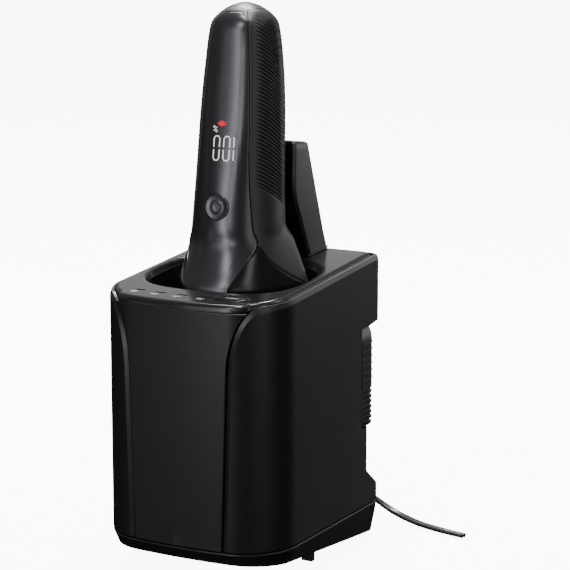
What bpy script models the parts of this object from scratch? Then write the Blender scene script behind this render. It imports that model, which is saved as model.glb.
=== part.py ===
"""Foil shaver standing head-down in its cleaning and charging dock, with the dock's mains cord.

Frame: +Z up, the table at Z = 0, the front faces -Y, and the origin is the centre of the dock's footprint.
Sizes below are in millimetres; add_mesh() turns them into metres.
"""

import math

import bpy
import bmesh
from mathutils import Vector

MM = 0.001
GAP = 0.3

# Dock, seen from above: straight sides, bulged front, large front corners, small rear corners
HALF_WIDTH = 45.1
HALF_DEPTH = 51.7
FRONT_BULGE = 5.0
FRONT_RADIUS = 21.0
REAR_RADIUS = 4.0
FLAT = HALF_WIDTH - FRONT_RADIUS
CORNER_END = FLAT + FRONT_RADIUS * math.pi / 2
CORNER_Y = FRONT_RADIUS - HALF_DEPTH

# Dock, seen from the side: wedge base, vertical walls, deck that rises to the rear
SEAM_Z = 16.4
UNDERSIDE_FRONT_Z = 10.2
UNDERSIDE_REAR_Z = 0.7
DECK_Z = 124.3
DECK_ANGLE = math.radians(5.1)
DECK_RISE = math.tan(DECK_ANGLE)
DECK_PROUD = 1.2
DECK_BELOW = 1.8
DECK_NORMAL = Vector((0, -math.sin(DECK_ANGLE), math.cos(DECK_ANGLE)))
WALL = 2.2

# Slot between the front panel and the side panels: half its spacing at the foot, then a flare at the top
SLOT_FOOT_X = 22.5
SLOT_WIDENING = 2.5
SLOT_FLARE = 12.0
SLOT_FLARE_Z = 95.0
PANEL_SLOT = 0.6

# Well in the deck
WELL_Y = -5.9
WELL_HALF_X = 37.6
WELL_HALF_Y = 30.6
WELL_POWER = 2.9
CUP_FLOOR_Z = 75.0
CUP_WALL = 1.6

# Rear of the dock: overhang at the top, fan grille, recess, flared foot
REAR_NOTCH_Y = 33.0
RECESS_Y = 41.0
FOOT_REAR_Y = 51.4
GRILLE_LOW_Z = 54.2
GRILLE_HIGH_Z = 101.0
OVERHANG_Z = 102.5
GRILLE_Y = 50.0
FAN_Y = 33.5
FAN_Z = 75.0
FAN_RADIUS = 18.0

# Parts on or in the dock
POST_HALF_X = 19.4
POST_LOW_Z = 133.0
POST_TOP_Z = 187.0
SOCKET_X = 18.0
SOCKET_Z = 20.5
PUMP_X = 32.0

# Shaver: outline by height, each as (height, value)
HANDLE_RADIUS = [(140, 20.6), (151, 20.0), (168, 19.2), (188, 18.5), (210, 17.5), (225, 16.3),
                 (235, 15.2), (241, 13.7), (245.3, 9.6), (247.6, 5.6), (249.0, 1.2)]
HANDLE_POWER = 2.4
CENTRE_Y = [(112.5, -6.0), (125, -5.0), (135, -3.0), (144, -1.6), (151, -1.2), (168, 0.0),
            (188, 1.9), (210, 3.8), (225, 4.7), (249, 5.2)]
SEAM_ANGLE = [(144, 52), (149, 49), (168, 43), (184, 40), (230, 36), (240, 35)]
NECK_TOP_Z = 152.0
NECK_FULL_Z = 144.0
TONGUE_X = [(112.5, 8.5), (125, 10.6), (135, 14.4), (144, 17.8), (152, 16.2), (160, 15.0)]
TONGUE_Y = [(112.5, -27.0), (125, -29.8), (135, -22.4), (144, -14.6), (152, -15.0), (160, -15.0)]
TONGUE_CROWN = [(112.5, 0.8), (125, 1.2), (135, 3.6), (144, 7.5), (152, 6.1), (160, 5.8)]
TONGUE_POWER = 2.6
CHEEK_OUT = 0.76
CHEEK_BACK = 0.25
SHOULDER_X = [(112.5, 33.0), (125, 30.0), (135, 26.2), (144, 22.3), (152, 20.0)]
SHOULDER_Y = [(112.5, 6.0), (125, 8.0), (144, 7.0), (152, 4.0)]
NECK_REAR_Y = [(112.5, 10.5), (125, 13.5), (135, 15.2), (144, 17.3), (152, 18.7)]
NECK_LOW_Z = 112.5
SEAM_APEX_Z = 143.7
GRIP_TIP_Z = 125.0
TIP_SLANT = 1.5
SKIN = 2.0
CORE_OUT = 2.3
CORE_IN = 4.1
NECK_OUT = 3.5
NECK_IN = 5.2
SKIN_TOP_Z = 245.6
HANDLE_END_Z = 249.0
GRIP_WAYS = [1.02, 1.2, 1.4, 1.6, 1.8, 2.0, 2.25, 2.45]
GRIP_LAST = GRIP_WAYS[-1]

# Shaver's head
HEAD_Y = -8.0
HEAD_HALF_X = 32.0
HEAD_HALF_Y = 15.5
HEAD_TOP_Z = 106.0
FOIL_PITCH = 7.8
TILT_Z = 106.5
SWING_Z = 108.5

BUTTON_Z = 160.9
BUTTON_LEAN = math.atan(0.12)
BUTTON_AXIS = Vector((0, -math.cos(BUTTON_LEAN), math.sin(BUTTON_LEAN)))


# ---------------------------------------------------------------- scene and mesh helpers


def clear_scene():
    for item in list(bpy.data.objects):
        bpy.data.objects.remove(item, do_unlink=True)


def principled(name, colour, roughness, metallic=0.0):
    made = bpy.data.materials.new(name)
    made.use_nodes = True
    shader = made.node_tree.nodes["Principled BSDF"]
    shader.inputs["Base Color"].default_value = (*colour, 1.0)
    shader.inputs["Roughness"].default_value = roughness
    shader.inputs["Metallic"].default_value = metallic
    return made


def satin_black():
    return principled("satin_black", (0.018, 0.018, 0.02), 0.38)


def gloss_black():
    return principled("gloss_black", (0.01, 0.01, 0.011), 0.08)


def graphite():
    return principled("graphite", (0.06, 0.062, 0.068), 0.28, 0.6)


def grip_rubber():
    return principled("grip_rubber", (0.022, 0.023, 0.025), 0.55)


def pale_plastic():
    return principled("pale_plastic", (0.55, 0.56, 0.56), 0.5)


def clear_plastic():
    return principled("clear_plastic", (0.5, 0.6, 0.65), 0.2)


def circuit_green():
    return principled("circuit_green", (0.03, 0.16, 0.07), 0.45)


def bright_steel():
    return principled("bright_steel", (0.6, 0.6, 0.6), 0.25, 1.0)


def add_object(name, mesh, material, pivot=(0, 0, 0)):
    made = bpy.data.objects.new(name, mesh)
    made.location = Vector(pivot) * MM
    bpy.context.scene.collection.objects.link(made)
    if material:
        mesh.materials.append(material)
    return made


def add_mesh(name, points, faces, material, pivot=(0, 0, 0), smooth=30.0):
    """A closed body from points in millimetres, with its faces turned outwards and its origin at pivot."""
    mesh = bpy.data.meshes.new(name)
    placed = [(Vector(p) - Vector(pivot)) * MM for p in points]
    mesh.from_pydata(placed, [], faces)
    shape = bmesh.new()
    shape.from_mesh(mesh)
    bmesh.ops.recalc_face_normals(shape, faces=shape.faces)
    shape.to_mesh(mesh)
    shape.free()
    mesh.shade_smooth()
    mesh.set_sharp_from_angle(angle=math.radians(smooth))
    return add_object(name, mesh, material, pivot)


def loft(name, loops, material, ring=False, pivot=(0, 0, 0)):
    """Bridges closed loops of equal length. The ends are capped, or joined to each other when ring is set."""
    count = len(loops[0])
    points = [p for loop in loops for p in loop]
    faces = []
    steps = len(loops) if ring else len(loops) - 1
    for i in range(steps):
        low = i * count
        high = (i + 1) % len(loops) * count
        for j in range(count):
            k = (j + 1) % count
            faces.append((low + j, low + k, high + k, high + j))
    if not ring:
        faces.append(tuple(range(count)))
        faces.append(tuple(range(len(points) - count, len(points))))
    return add_mesh(name, points, faces, material, pivot)


def shell_patch(name, outer, inner, material, pivot=(0, 0, 0)):
    """A sheet with thickness between two grids of points that have the same rows and columns."""
    rows = len(outer)
    columns = len(outer[0])
    points = [p for row in outer for p in row] + [p for row in inner for p in row]
    behind = rows * columns
    faces = []
    for i in range(rows - 1):
        for j in range(columns - 1):
            a = i * columns + j
            quad = (a, a + 1, a + columns + 1, a + columns)
            faces.append(quad)
            faces.append(tuple(behind + k for k in reversed(quad)))
    border = list(range(columns))
    border += [i * columns + columns - 1 for i in range(1, rows)]
    border += [(rows - 1) * columns + j for j in range(columns - 2, -1, -1)]
    border += [i * columns for i in range(rows - 2, 0, -1)]
    for a, b in zip(border, border[1:] + border[:1]):
        faces.append((b, a, behind + a, behind + b))
    return add_mesh(name, points, faces, material, pivot)


def block(name, low, high, material, pivot=(0, 0, 0)):
    loops = []
    for z in (low[2], high[2]):
        loops.append([(low[0], low[1], z), (high[0], low[1], z), (high[0], high[1], z), (low[0], high[1], z)])
    return loft(name, loops, material, pivot=pivot)


def prism_x(name, outline, x_low, x_high, material, pivot=(0, 0, 0)):
    """An outline of (y, z) points pushed along X."""
    loops = [[(x, y, z) for y, z in outline] for x in (x_low, x_high)]
    return loft(name, loops, material, pivot=pivot)


def circle(centre, axis, radius, count, turn=0.0):
    axis = Vector(axis).normalized()
    across = axis.orthogonal().normalized()
    up = axis.cross(across)
    loop = []
    for i in range(count):
        angle = turn + 2 * math.pi * i / count
        loop.append(Vector(centre) + (across * math.cos(angle) + up * math.sin(angle)) * radius)
    return loop


def turned(name, start, axis, stations, material, count=16, ring=False, pivot=(0, 0, 0)):
    """A round piece: stations are (distance along the axis, radius)."""
    axis = Vector(axis).normalized()
    loops = [circle(Vector(start) + axis * d, axis, r, count) for d, r in stations]
    return loft(name, loops, material, ring=ring, pivot=pivot)


def cut(target, cutter):
    """Cuts cutter out of target and leaves cutter as a hidden guide."""
    cutter.hide_render = True
    cutter.display_type = "WIRE"
    step = target.modifiers.new("cut_" + cutter.name, "BOOLEAN")
    step.operation = "DIFFERENCE"
    step.solver = "EXACT"
    step.object = cutter
    return target


def along(value, stations):
    """Smooth curve through (position, value) stations."""
    if value <= stations[0][0]:
        return stations[0][1]
    if value >= stations[-1][0]:
        return stations[-1][1]
    index = 0
    while stations[index + 1][0] < value:
        index += 1
    (x0, y0), (x1, y1) = stations[index], stations[index + 1]
    before = stations[index - 1] if index > 0 else stations[index]
    after = stations[index + 2] if index + 2 < len(stations) else stations[index + 1]
    slope0 = (y1 - before[1]) / (x1 - before[0])
    slope1 = (after[1] - y0) / (after[0] - x0)
    width = x1 - x0
    t = (value - x0) / width
    square = t * t
    cube = square * t
    return ((2 * cube - 3 * square + 1) * y0 + (cube - 2 * square + t) * width * slope0
            + (3 * square - 2 * cube) * y1 + (cube - square) * width * slope1)


def mix(a, b, share):
    return a + (b - a) * share


# ---------------------------------------------------------------- dock outline


def deck_z(y):
    return DECK_Z + DECK_RISE * (y + HALF_DEPTH)


def underside_z(y):
    share = (y + HALF_DEPTH) / (2 * HALF_DEPTH)
    return mix(UNDERSIDE_FRONT_Z, UNDERSIDE_REAR_Z, share)


def plan_point(station, inset=0.0):
    """(x, y) on the right half of the dock's outline, station mm from the middle of the front."""
    if station <= FLAT:
        x = station
        y = inset - HALF_DEPTH
    elif station <= CORNER_END:
        angle = (station - FLAT) / FRONT_RADIUS
        radius = FRONT_RADIUS - inset
        x = FLAT + radius * math.sin(angle)
        y = CORNER_Y - radius * math.cos(angle)
    else:
        return HALF_WIDTH - inset, CORNER_Y + station - CORNER_END
    return x, y - FRONT_BULGE * (1 - (x / HALF_WIDTH) ** 2)


def station_of_x(x):
    if x <= FLAT:
        return x
    return FLAT + FRONT_RADIUS * math.asin((x - FLAT) / FRONT_RADIUS)


def station_of_y(y):
    return CORNER_END + y - CORNER_Y


def right_outline(inset):
    """The dock's outline from the front to the rear on the right side."""
    points = [plan_point(s, inset) for s in (8.0, 16.0)]
    for i in range(7):
        points.append(plan_point(mix(FLAT, CORNER_END, i / 6), inset))
    radius = max(REAR_RADIUS - inset, 0.5)
    corner_x = HALF_WIDTH - inset - radius
    corner_y = HALF_DEPTH - inset - radius
    for i in range(4):
        angle = math.pi / 2 * i / 3
        points.append((corner_x + radius * math.cos(angle), corner_y + radius * math.sin(angle)))
    return points


def plan_loop(inset):
    """The whole outline, counter-clockwise from the front."""
    right = right_outline(inset)
    left = [(-x, y) for x, y in reversed(right)]
    return right + left


def slot_x(z):
    """Half the spacing of the two slots beside the front panel at height z."""
    rise = max(z - SLOT_FLARE_Z, 0) / (DECK_Z - SLOT_FLARE_Z)
    flare = SLOT_FLARE * (1 - max(1 - rise * rise, 0) ** 0.6)
    return SLOT_FOOT_X + SLOT_WIDENING * (z - SEAM_Z) / (SLOT_FLARE_Z - SEAM_Z) + flare


def front_y(x, inset=0.0):
    return plan_point(station_of_x(abs(x)), inset)[1]


def well_loop(half_x, half_y, height, count=32):
    """A loop of the well's outline; height gives z at a y."""
    loop = []
    for i in range(count):
        angle = 2 * math.pi * (i + 0.5) / count
        loop.append(well_point(angle, half_x, half_y, height))
    return loop


def well_point(angle, half_x, half_y, height):
    c = math.cos(angle)
    s = math.sin(angle)
    reach = (abs(c / half_x) ** WELL_POWER + abs(s / half_y) ** WELL_POWER) ** (-1 / WELL_POWER)
    y = WELL_Y + reach * s
    return reach * c, y, height(y)


# ---------------------------------------------------------------- shaver outline


def handle_point(way, z):
    """(x, y) on the handle. way runs 0 front middle, 1 seam, 2 side, 3 rear middle."""
    seam = math.radians(along(z, SEAM_ANGLE))
    side = math.radians(100)
    if way <= 1:
        angle = seam * way
    elif way <= 2:
        angle = mix(seam, side, way - 1)
    else:
        angle = mix(side, math.pi, way - 2)
    s = math.sin(angle)
    c = math.cos(angle)
    reach = (abs(s) ** HANDLE_POWER + abs(c) ** HANDLE_POWER) ** (-1 / HANDLE_POWER)
    radius = along(z, HANDLE_RADIUS) * reach
    return radius * s, along(z, CENTRE_Y) - radius * c


def neck_point(way, z):
    """(x, y) on the flared neck: crowned tongue, rolled cheek, rounded rear."""
    tongue = (along(z, TONGUE_X), along(z, TONGUE_Y))
    shoulder = (along(z, SHOULDER_X), along(z, SHOULDER_Y))
    if way <= 1:
        return tongue[0] * way, tongue[1] - along(z, TONGUE_CROWN) * (1 - way ** TONGUE_POWER)
    if way <= 2:
        t = way - 1
        bend = (mix(tongue[0], shoulder[0], CHEEK_OUT), mix(tongue[1], shoulder[1], CHEEK_BACK))
        x = (1 - t) ** 2 * tongue[0] + 2 * t * (1 - t) * bend[0] + t * t * shoulder[0]
        y = (1 - t) ** 2 * tongue[1] + 2 * t * (1 - t) * bend[1] + t * t * shoulder[1]
        return x, y
    angle = math.pi / 2 * (way - 2)
    depth = along(z, NECK_REAR_Y) - shoulder[1]
    return shoulder[0] * math.cos(angle) ** 0.8, shoulder[1] + depth * math.sin(angle) ** 0.8


def shaver_point(way, z, inset=0.0):
    """A point of the shaver's skin, moved inset mm towards the middle. A negative way is the left side."""
    share = min(max((NECK_TOP_Z - z) / (NECK_TOP_Z - NECK_FULL_Z), 0), 1)
    share = share * share * (3 - 2 * share)
    a = Vector(handle_point(abs(way), z))
    b = Vector(neck_point(abs(way), z))
    centre = Vector((0, along(z, CENTRE_Y)))
    out = mix(a, b, share) - centre
    placed = centre + out * (1 - inset / max(out.length, 1e-6))
    return math.copysign(placed.x, way), placed.y, z


def grip_low_z(way):
    """Lower edge of the grips and the back cover: slanted from the seam's apex to the shoulder."""
    return mix(SEAM_APEX_Z, GRIP_TIP_Z, min(max(way - 1, 0), 1) ** TIP_SLANT)


def ways_around():
    right = [0.0, 0.5, 0.985] + GRIP_WAYS[:-1] + [2.6]
    left = [-w for w in reversed(right[1:])]
    return right + [3.0] + left


# ---------------------------------------------------------------- dock pieces


def make_base(material):
    loops = [
        [(x, y, underside_z(y)) for x, y in plan_loop(3.0)],
        [(x, y, mix(underside_z(y), SEAM_Z, 0.7)) for x, y in plan_loop(0.7)],
        [(x, y, SEAM_Z - GAP) for x, y in plan_loop(0.1)],
        [(x, y, SEAM_Z - GAP) for x, y in plan_loop(2.4)],
        [(x, y, underside_z(y) + 2.6) for x, y in plan_loop(4.4)],
    ]
    base = loft("base", loops, material)
    for index, (x, y) in enumerate(screw_places()):
        hole = turned(f"screw_hole_{index + 1}", (x, y, -2), (0, 0, 1), [(0, 1.8), (22, 1.8)], None, 12)
        cut(base, hole)
    return base


def screw_places():
    return [(-30, -30), (30, -30), (-30, 30), (30, 30)]


def make_base_screws(material):
    for index, (x, y) in enumerate(screw_places()):
        under = underside_z(y + 3) - GAP
        stations = [(0, 2.2), (0.5, 3.0), (1.6, 3.0), (1.6, 1.5), (11, 1.5)]
        turned(f"base_screw_{index + 1}", (x, y, under - 1.6), (0, 0, 1), stations, material, 12)


def make_feet(material):
    tab = 38.4
    pad = 8.0
    front = -3.2
    behind = -0.3
    right = [(tab, front), (tab, behind), (pad, behind), (pad, 3.2)]
    plan = right + [(-x, y) for x, y in reversed(right)]
    loops = [[(x, y, 0) for x, y in plan], [(x, y, underside_z(y) - GAP) for x, y in plan]]
    bar = loft("foot_bar", loops, material)
    for side, name in ((-1, "left"), (1, "right")):
        x = sorted((side * (pad + 2), side * (tab - 5.5)))
        cut(bar, block(f"bar_relief_{name}", (x[0], -5, -1), (x[1], 1, 2.4), None))
        x = sorted((side * 30.0, side * 38.0))
        block(f"foot_rear_{name}", (x[0], 38, 0), (x[1], 46, underside_z(46) - GAP), material)


def rear_edge_y(z):
    """Rear edge of a side panel at height z."""
    if z < 25:
        return FOOT_REAR_Y
    if z < 33:
        return mix(FOOT_REAR_Y, RECESS_Y, (z - 25) / 8)
    if z < GRILLE_LOW_Z:
        return RECESS_Y
    if z < GRILLE_HIGH_Z + 0.2:
        return REAR_NOTCH_Y
    if z < OVERHANG_Z:
        return mix(RECESS_Y, HALF_DEPTH, (z - GRILLE_HIGH_Z) / (OVERHANG_Z - GRILLE_HIGH_Z))
    return HALF_DEPTH


def make_side_panel(name, side, material):
    rear_top = deck_z(HALF_DEPTH) - 0.2
    heights = [SEAM_Z + GAP, 25, 33, 54.0, GRILLE_LOW_Z, 75, 101.1, 101.3, OVERHANG_Z, 112, 119, 125, 129, 131.5]
    heights.append(rear_top)
    outer = []
    inner = []
    for height in heights:
        share = max(height - OVERHANG_Z, 0) / (rear_top - OVERHANG_Z)
        front_z = height + (DECK_Z - deck_z(HALF_DEPTH)) * share
        start = station_of_x(slot_x(front_z))
        stations = [mix(start, CORNER_END, i / 7) for i in range(8)]
        end = rear_edge_y(height)
        radius = 0.8 if end == REAR_NOTCH_Y else REAR_RADIUS
        stations += [mix(CORNER_END, station_of_y(end - radius), i / 2) for i in (1, 2)]
        for grid, inset in ((outer, 0.0), (inner, WALL)):
            places = [plan_point(station, inset) for station in stations]
            for i in (1, 2, 3):
                angle = math.pi / 2 * i / 3
                reach = radius - inset
                middle_x = HALF_WIDTH - radius
                middle_y = end - radius
                if reach > 0:
                    places.append((middle_x + reach * math.cos(angle), middle_y + reach * math.sin(angle)))
                else:
                    places.append((HALF_WIDTH - inset, middle_y + radius * i / 3))
            row = [(side * x, y, height + (deck_z(y) - deck_z(HALF_DEPTH)) * share) for x, y in places]
            grid.append(row)
    return shell_patch(name, outer, inner, material)


def make_rear_shell(material):
    top = deck_z(HALF_DEPTH) - 0.2
    foot = SEAM_Z + GAP
    outer = [(FOOT_REAR_Y, foot), (FOOT_REAR_Y, 25), (RECESS_Y, 33), (RECESS_Y, 101.5), (HALF_DEPTH, 103),
             (HALF_DEPTH, top)]
    sheet = 2.0
    inner = [(HALF_DEPTH - sheet, top), (HALF_DEPTH - sheet, 105.0), (RECESS_Y - sheet, 103.5),
             (RECESS_Y - sheet, 32.2), (FOOT_REAR_Y - sheet, 24.2), (FOOT_REAR_Y - sheet, foot)]
    half = HALF_WIDTH - REAR_RADIUS - GAP
    shell = prism_x("rear_shell", outer + inner, -half, half, material)
    fan_hole = turned("fan_opening", (0, 38, FAN_Z), (0, 1, 0), [(0, FAN_RADIUS), (8, FAN_RADIUS)], None, 24)
    cut(shell, fan_hole)
    cut(shell, block("socket_opening", (12.6, 46, 17.5), (23.4, 54, 23.5), None))
    return shell


def grille_outline(inset):
    """Half of the grille's outline from above, from the side panel to the middle of the rear."""
    side_x = HALF_WIDTH - 0.1 - inset
    rear_y = GRILLE_Y - inset
    radius = 9.0 - inset
    points = [(side_x, REAR_NOTCH_Y + GAP)]
    for i in range(5):
        angle = math.pi / 2 * i / 4
        x = side_x - radius + radius * math.cos(angle)
        y = rear_y - radius + radius * math.sin(angle)
        points.append((x, y))
    return points


def make_vent_grille(material):
    low = GRILLE_LOW_Z + GAP
    high = GRILLE_HIGH_Z - 0.2
    grids = []
    for inset in (0.0, 2.0):
        right = grille_outline(inset)
        line = right + [(-x, y) for x, y in reversed(right)]
        grids.append([[(x, y, z) for x, y in line] for z in (low, high)])
    grille = shell_patch("vent_grille", grids[0], grids[1], material)
    for index in range(6):
        z = low + 4.0 + index * 6.6
        cut(grille, block(f"louvre_{index + 1}", (-33, 44, z), (33, 54, z + 3.4), None))
    return grille


def deck_outline():
    """Right half of the deck's edge as (x, y): flush with the front, then stepped in along the sides."""
    points = []
    stations = [0.0, 8.0, 16.0, 24.0, 29.0, 31.0, 33.8, 38.0, 42.0, 47.0, 52.0]
    stations += [CORNER_END, station_of_y(-12), station_of_y(8), station_of_y(28), station_of_y(46.0)]
    for station in stations:
        share = min(max((station - 31.0) / 2.8, 0), 1)
        points.append(plan_point(station, mix(GAP, 2.6, share)))
    points.append((38.5, 49.0))
    points.append((20.0, 49.0))
    points.append((0.0, 49.0))
    return points


def lamp_places():
    return [(x, front_y(x) + 10.6) for x in (-24.2, -13.2, -2.0, 9.8)]


def select_place():
    return Vector((21.6, -44.6, deck_z(-44.6)))


def bar_loops(centre, half_x, half_y, low, high, count=16):
    """Two oval loops at distances low and high along the deck's normal."""
    loops = []
    across = Vector((0, math.cos(DECK_ANGLE), math.sin(DECK_ANGLE)))
    for reach in (low, high):
        loop = []
        for i in range(count):
            angle = 2 * math.pi * (i + 0.5) / count
            x = half_x * math.copysign(abs(math.cos(angle)) ** 0.6, math.cos(angle))
            y = half_y * math.copysign(abs(math.sin(angle)) ** 0.6, math.sin(angle))
            loop.append(Vector(centre) + Vector((x, 0, 0)) + across * y + DECK_NORMAL * reach)
        loops.append(loop)
    return loops


def make_deck(material):
    right = deck_outline()
    outline = right + [(-x, y) for x, y in reversed(right[1:-1])]
    loops = [[(x, y, deck_z(y) - DECK_BELOW) for x, y in outline]]
    loops.append([(x, y, deck_z(y) + DECK_PROUD) for x, y in outline])
    rim = ((0.7, DECK_PROUD), (0.0, 0.5), (-0.6, -DECK_BELOW))
    for reach, rise in rim:
        loop = []
        for x, y in outline:
            angle = math.atan2(y - WELL_Y, x)
            half_x = WELL_HALF_X + reach
            half_y = WELL_HALF_Y + reach
            loop.append(well_point(angle, half_x, half_y, lambda v, r=rise: deck_z(v) + r))
        loops.append(loop)
    deck = loft("deck", loops, material, ring=True)
    cut(deck, loft("select_opening", bar_loops(select_place(), 8.6, 4.1, -4, 5), None))
    for index, (x, y) in enumerate(lamp_places()):
        slot = bar_loops((x, y, deck_z(y)), 2.7, 0.85, -4, 5, 8)
        cut(deck, loft(f"lamp_opening_{index + 1}", slot, None))
    return deck


def make_lamps(material):
    for index, (x, y) in enumerate(lamp_places()):
        loops = bar_loops((x, y, deck_z(y)), 2.4, 0.55, -3.5, 1.1, 8)
        loft(f"indicator_lens_{index + 1}", loops, material)


def make_select_button(material):
    place = select_place()
    loops = bar_loops(place, 8.2, 3.7, -1.2, 1.6) + bar_loops(place, 7.4, 3.0, 2.1, 2.2)[:1]
    return loft("select_button", loops, material, pivot=place)


def make_well_cup(material):
    def top(y):
        return deck_z(y) - DECK_BELOW - GAP

    def level(z):
        return lambda y: z

    loops = [
        well_loop(WELL_HALF_X + 1, WELL_HALF_Y + 1, top),
        well_loop(37.3, 28.4, level(CUP_FLOOR_Z + 2)),
        well_loop(34.5, 25.0, level(CUP_FLOOR_Z - CUP_WALL)),
        well_loop(5.0, 5.0, level(CUP_FLOOR_Z - CUP_WALL)),
        well_loop(5.0, 5.0, level(CUP_FLOOR_Z)),
        well_loop(33.0, 23.5, level(CUP_FLOOR_Z)),
        well_loop(35.7, 26.8, level(CUP_FLOOR_Z + 3.5)),
        well_loop(WELL_HALF_X - 0.6, WELL_HALF_Y - 0.6, top),
    ]
    return loft("well_cup", loops, material, ring=True)


def post_front_middle(z):
    return along(z, [(133, 33.5), (150, 27.0), (163, 21.4), (186, 21.4)])


def post_front_edge(z):
    return along(z, [(133, 30.0), (150, 22.0), (163, 16.0), (186, 15.8)])


def post_rear(z):
    return mix(48.2, 29.0, (z - 133.6) / (186.5 - 133.6))


def post_section(z, inset=0.0, top_drop=0.0, foot=False):
    """One loop of the post: flat rear with rounded corners, hollow front. foot follows the deck."""
    half = POST_HALF_X - inset
    rear = post_rear(z) - inset
    edge = post_front_edge(z) + inset
    middle = post_front_middle(z) + inset
    points = [(-half, rear - 2.0), (-half + 2.0, rear), (half - 2.0, rear), (half, rear - 2.0)]
    for i in range(9):
        x = mix(half, -half, i / 8)
        points.append((x, mix(middle, edge, (x / half) ** 2)))
    loop = []
    for x, y in points:
        height = deck_z(y) + DECK_PROUD + GAP if foot else z - top_drop * (y - edge) / (rear - edge)
        loop.append((x, y, height))
    return loop


def make_post(material):
    loops = [post_section(POST_LOW_Z, foot=True)]
    loops += [post_section(z) for z in (142, 150, 157, 163)]
    loops += [post_section(POST_TOP_Z - 1.4, 0.0, 0.9), post_section(POST_TOP_Z, 1.0, 1.1)]
    return loft("charging_post", loops, material)


def make_contacts(material):
    for side, name in ((-1, "left"), (1, "right")):
        x = sorted((side * 3.5, side * 6.0))
        block(f"charging_contact_{name}", (x[0], 19.75, 164), (x[1], 20.25, 171), material)


def square_point(angle, half):
    c = math.cos(angle)
    s = math.sin(angle)
    reach = half / max(abs(c), abs(s))
    return reach * c, reach * s


def make_fan(frame_material, rotor_material):
    count = 24
    outer = [square_point(math.pi / 4 + 2 * math.pi * i / count, 20.0) for i in range(count)]
    inner = []
    for i in range(count):
        angle = math.pi / 4 + 2 * math.pi * i / count
        inner.append((FAN_RADIUS * math.cos(angle), FAN_RADIUS * math.sin(angle)))
    loops = []
    for line, y in ((outer, FAN_Y - 5), (outer, FAN_Y + 5), (inner, FAN_Y + 5), (inner, FAN_Y - 5)):
        loops.append([(x, y, FAN_Z + z) for x, z in line])
    loft("fan_frame", loops, frame_material, ring=True)
    blades = 5
    loops = []
    for y, turn in ((FAN_Y - 3, 0.0), (FAN_Y, 0.12), (FAN_Y + 3, 0.24)):
        loop = []
        for i in range(blades):
            for share, radius in ((0.0, 7.0), (0.22, 7.4), (0.25, 17.2), (0.42, 17.2), (0.5, 7.4)):
                angle = 2 * math.pi * (i + share) / blades + turn
                loop.append((radius * math.cos(angle), y, FAN_Z + radius * math.sin(angle)))
        loops.append(loop)
    loft("fan_rotor", loops, rotor_material, pivot=(0, FAN_Y, FAN_Z))


def make_heater(material):
    outline = []
    for i in range(6):
        z = 60 + i * 5.2
        outline += [(23.9, z), (23.9, z + 2.4), (26.4, z + 2.4), (26.4, z + 5.2)]
    outline = outline[:-1]
    outline += [(28.0, 60 + 5 * 5.2 + 2.4), (28.0, 60)]
    return prism_x("heater_block", outline, -15, 15, material)


def make_pump(body_material, impeller_material, hose_material):
    stations = [(31, 8.0), (5, 8.0), (0, 8.8), (0, 7.2), (6, 7.2)]
    turned("pump_body", (PUMP_X, 0, 19), (0, 0, 1), stations, body_material, 20, pivot=(PUMP_X, 0, 19))
    vanes = 6
    loops = []
    for z in (19.6, 24.2):
        loop = []
        for i in range(vanes):
            for share, radius in ((0.0, 2.2), (0.4, 2.2), (0.46, 6.4), (0.6, 6.4)):
                angle = 2 * math.pi * (i + share) / vanes
                loop.append((PUMP_X + radius * math.cos(angle), radius * math.sin(angle), z))
        loops.append(loop)
    loft("pump_impeller", loops, impeller_material, pivot=(PUMP_X, 0, 22))
    path = [Vector((PUMP_X, 0, 50.6)), Vector((PUMP_X, 0, 58)), Vector((29.5, 0, 66)), Vector((27, 0, 72.8))]
    loops = [circle(p, (0, 0, 1), 2.2, 10) for p in path]
    loft("supply_hose", loops, hose_material)


def make_dock_board(material):
    return block("dock_board", (-36, -20, 20), (-34.4, 28, 66), material)


def make_power_inlet(socket_material, plug_material):
    collar = FOOT_REAR_Y + GAP
    socket = ((40.0, 8.0, 3.4), (48.6, 8.0, 3.4), (48.6, 4.7, 2.3), (42.5, 4.7, 2.3))
    plug = ((43.2, 4.0, 1.9), (collar, 4.0, 1.9), (collar, 5.6, 3.4), (60.0, 5.4, 3.2), (63.5, 3.0, 2.0))
    loops = [oblong(SOCKET_X, y, SOCKET_Z, half_x, half_z) for y, half_x, half_z in socket]
    loft("power_socket", loops, socket_material)
    loops = [oblong(SOCKET_X, y, SOCKET_Z, half_x, half_z) for y, half_x, half_z in plug]
    loft("power_plug", loops, plug_material, pivot=(SOCKET_X, 51, SOCKET_Z))


def oblong(x, y, z, half_x, half_z, count=16):
    """A rounded rectangle in a plane across Y."""
    loop = []
    for i in range(count):
        angle = 2 * math.pi * (i + 0.5) / count
        dx = half_x * math.copysign(abs(math.cos(angle)) ** 0.55, math.cos(angle))
        dz = half_z * math.copysign(abs(math.sin(angle)) ** 0.55, math.sin(angle))
        loop.append((x + dx, y, z + dz))
    return loop


def cord_path(share):
    """Middle line of the cord: out of the plug, down to the table and round to the right."""
    points = [(18, 65.0, 20.5), (20.0, 71.5, 17.0), (29.5, 76.5, 8.6), (42, 75.6, 2.9), (58, 67.2, 2.1),
              (72, 62.3, 2.1), (85, 59.4, 2.1)]
    place = share * (len(points) - 1)
    stations = [[(i, p[axis]) for i, p in enumerate(points)] for axis in range(3)]
    return Vector([along(place, s) for s in stations])


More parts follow.
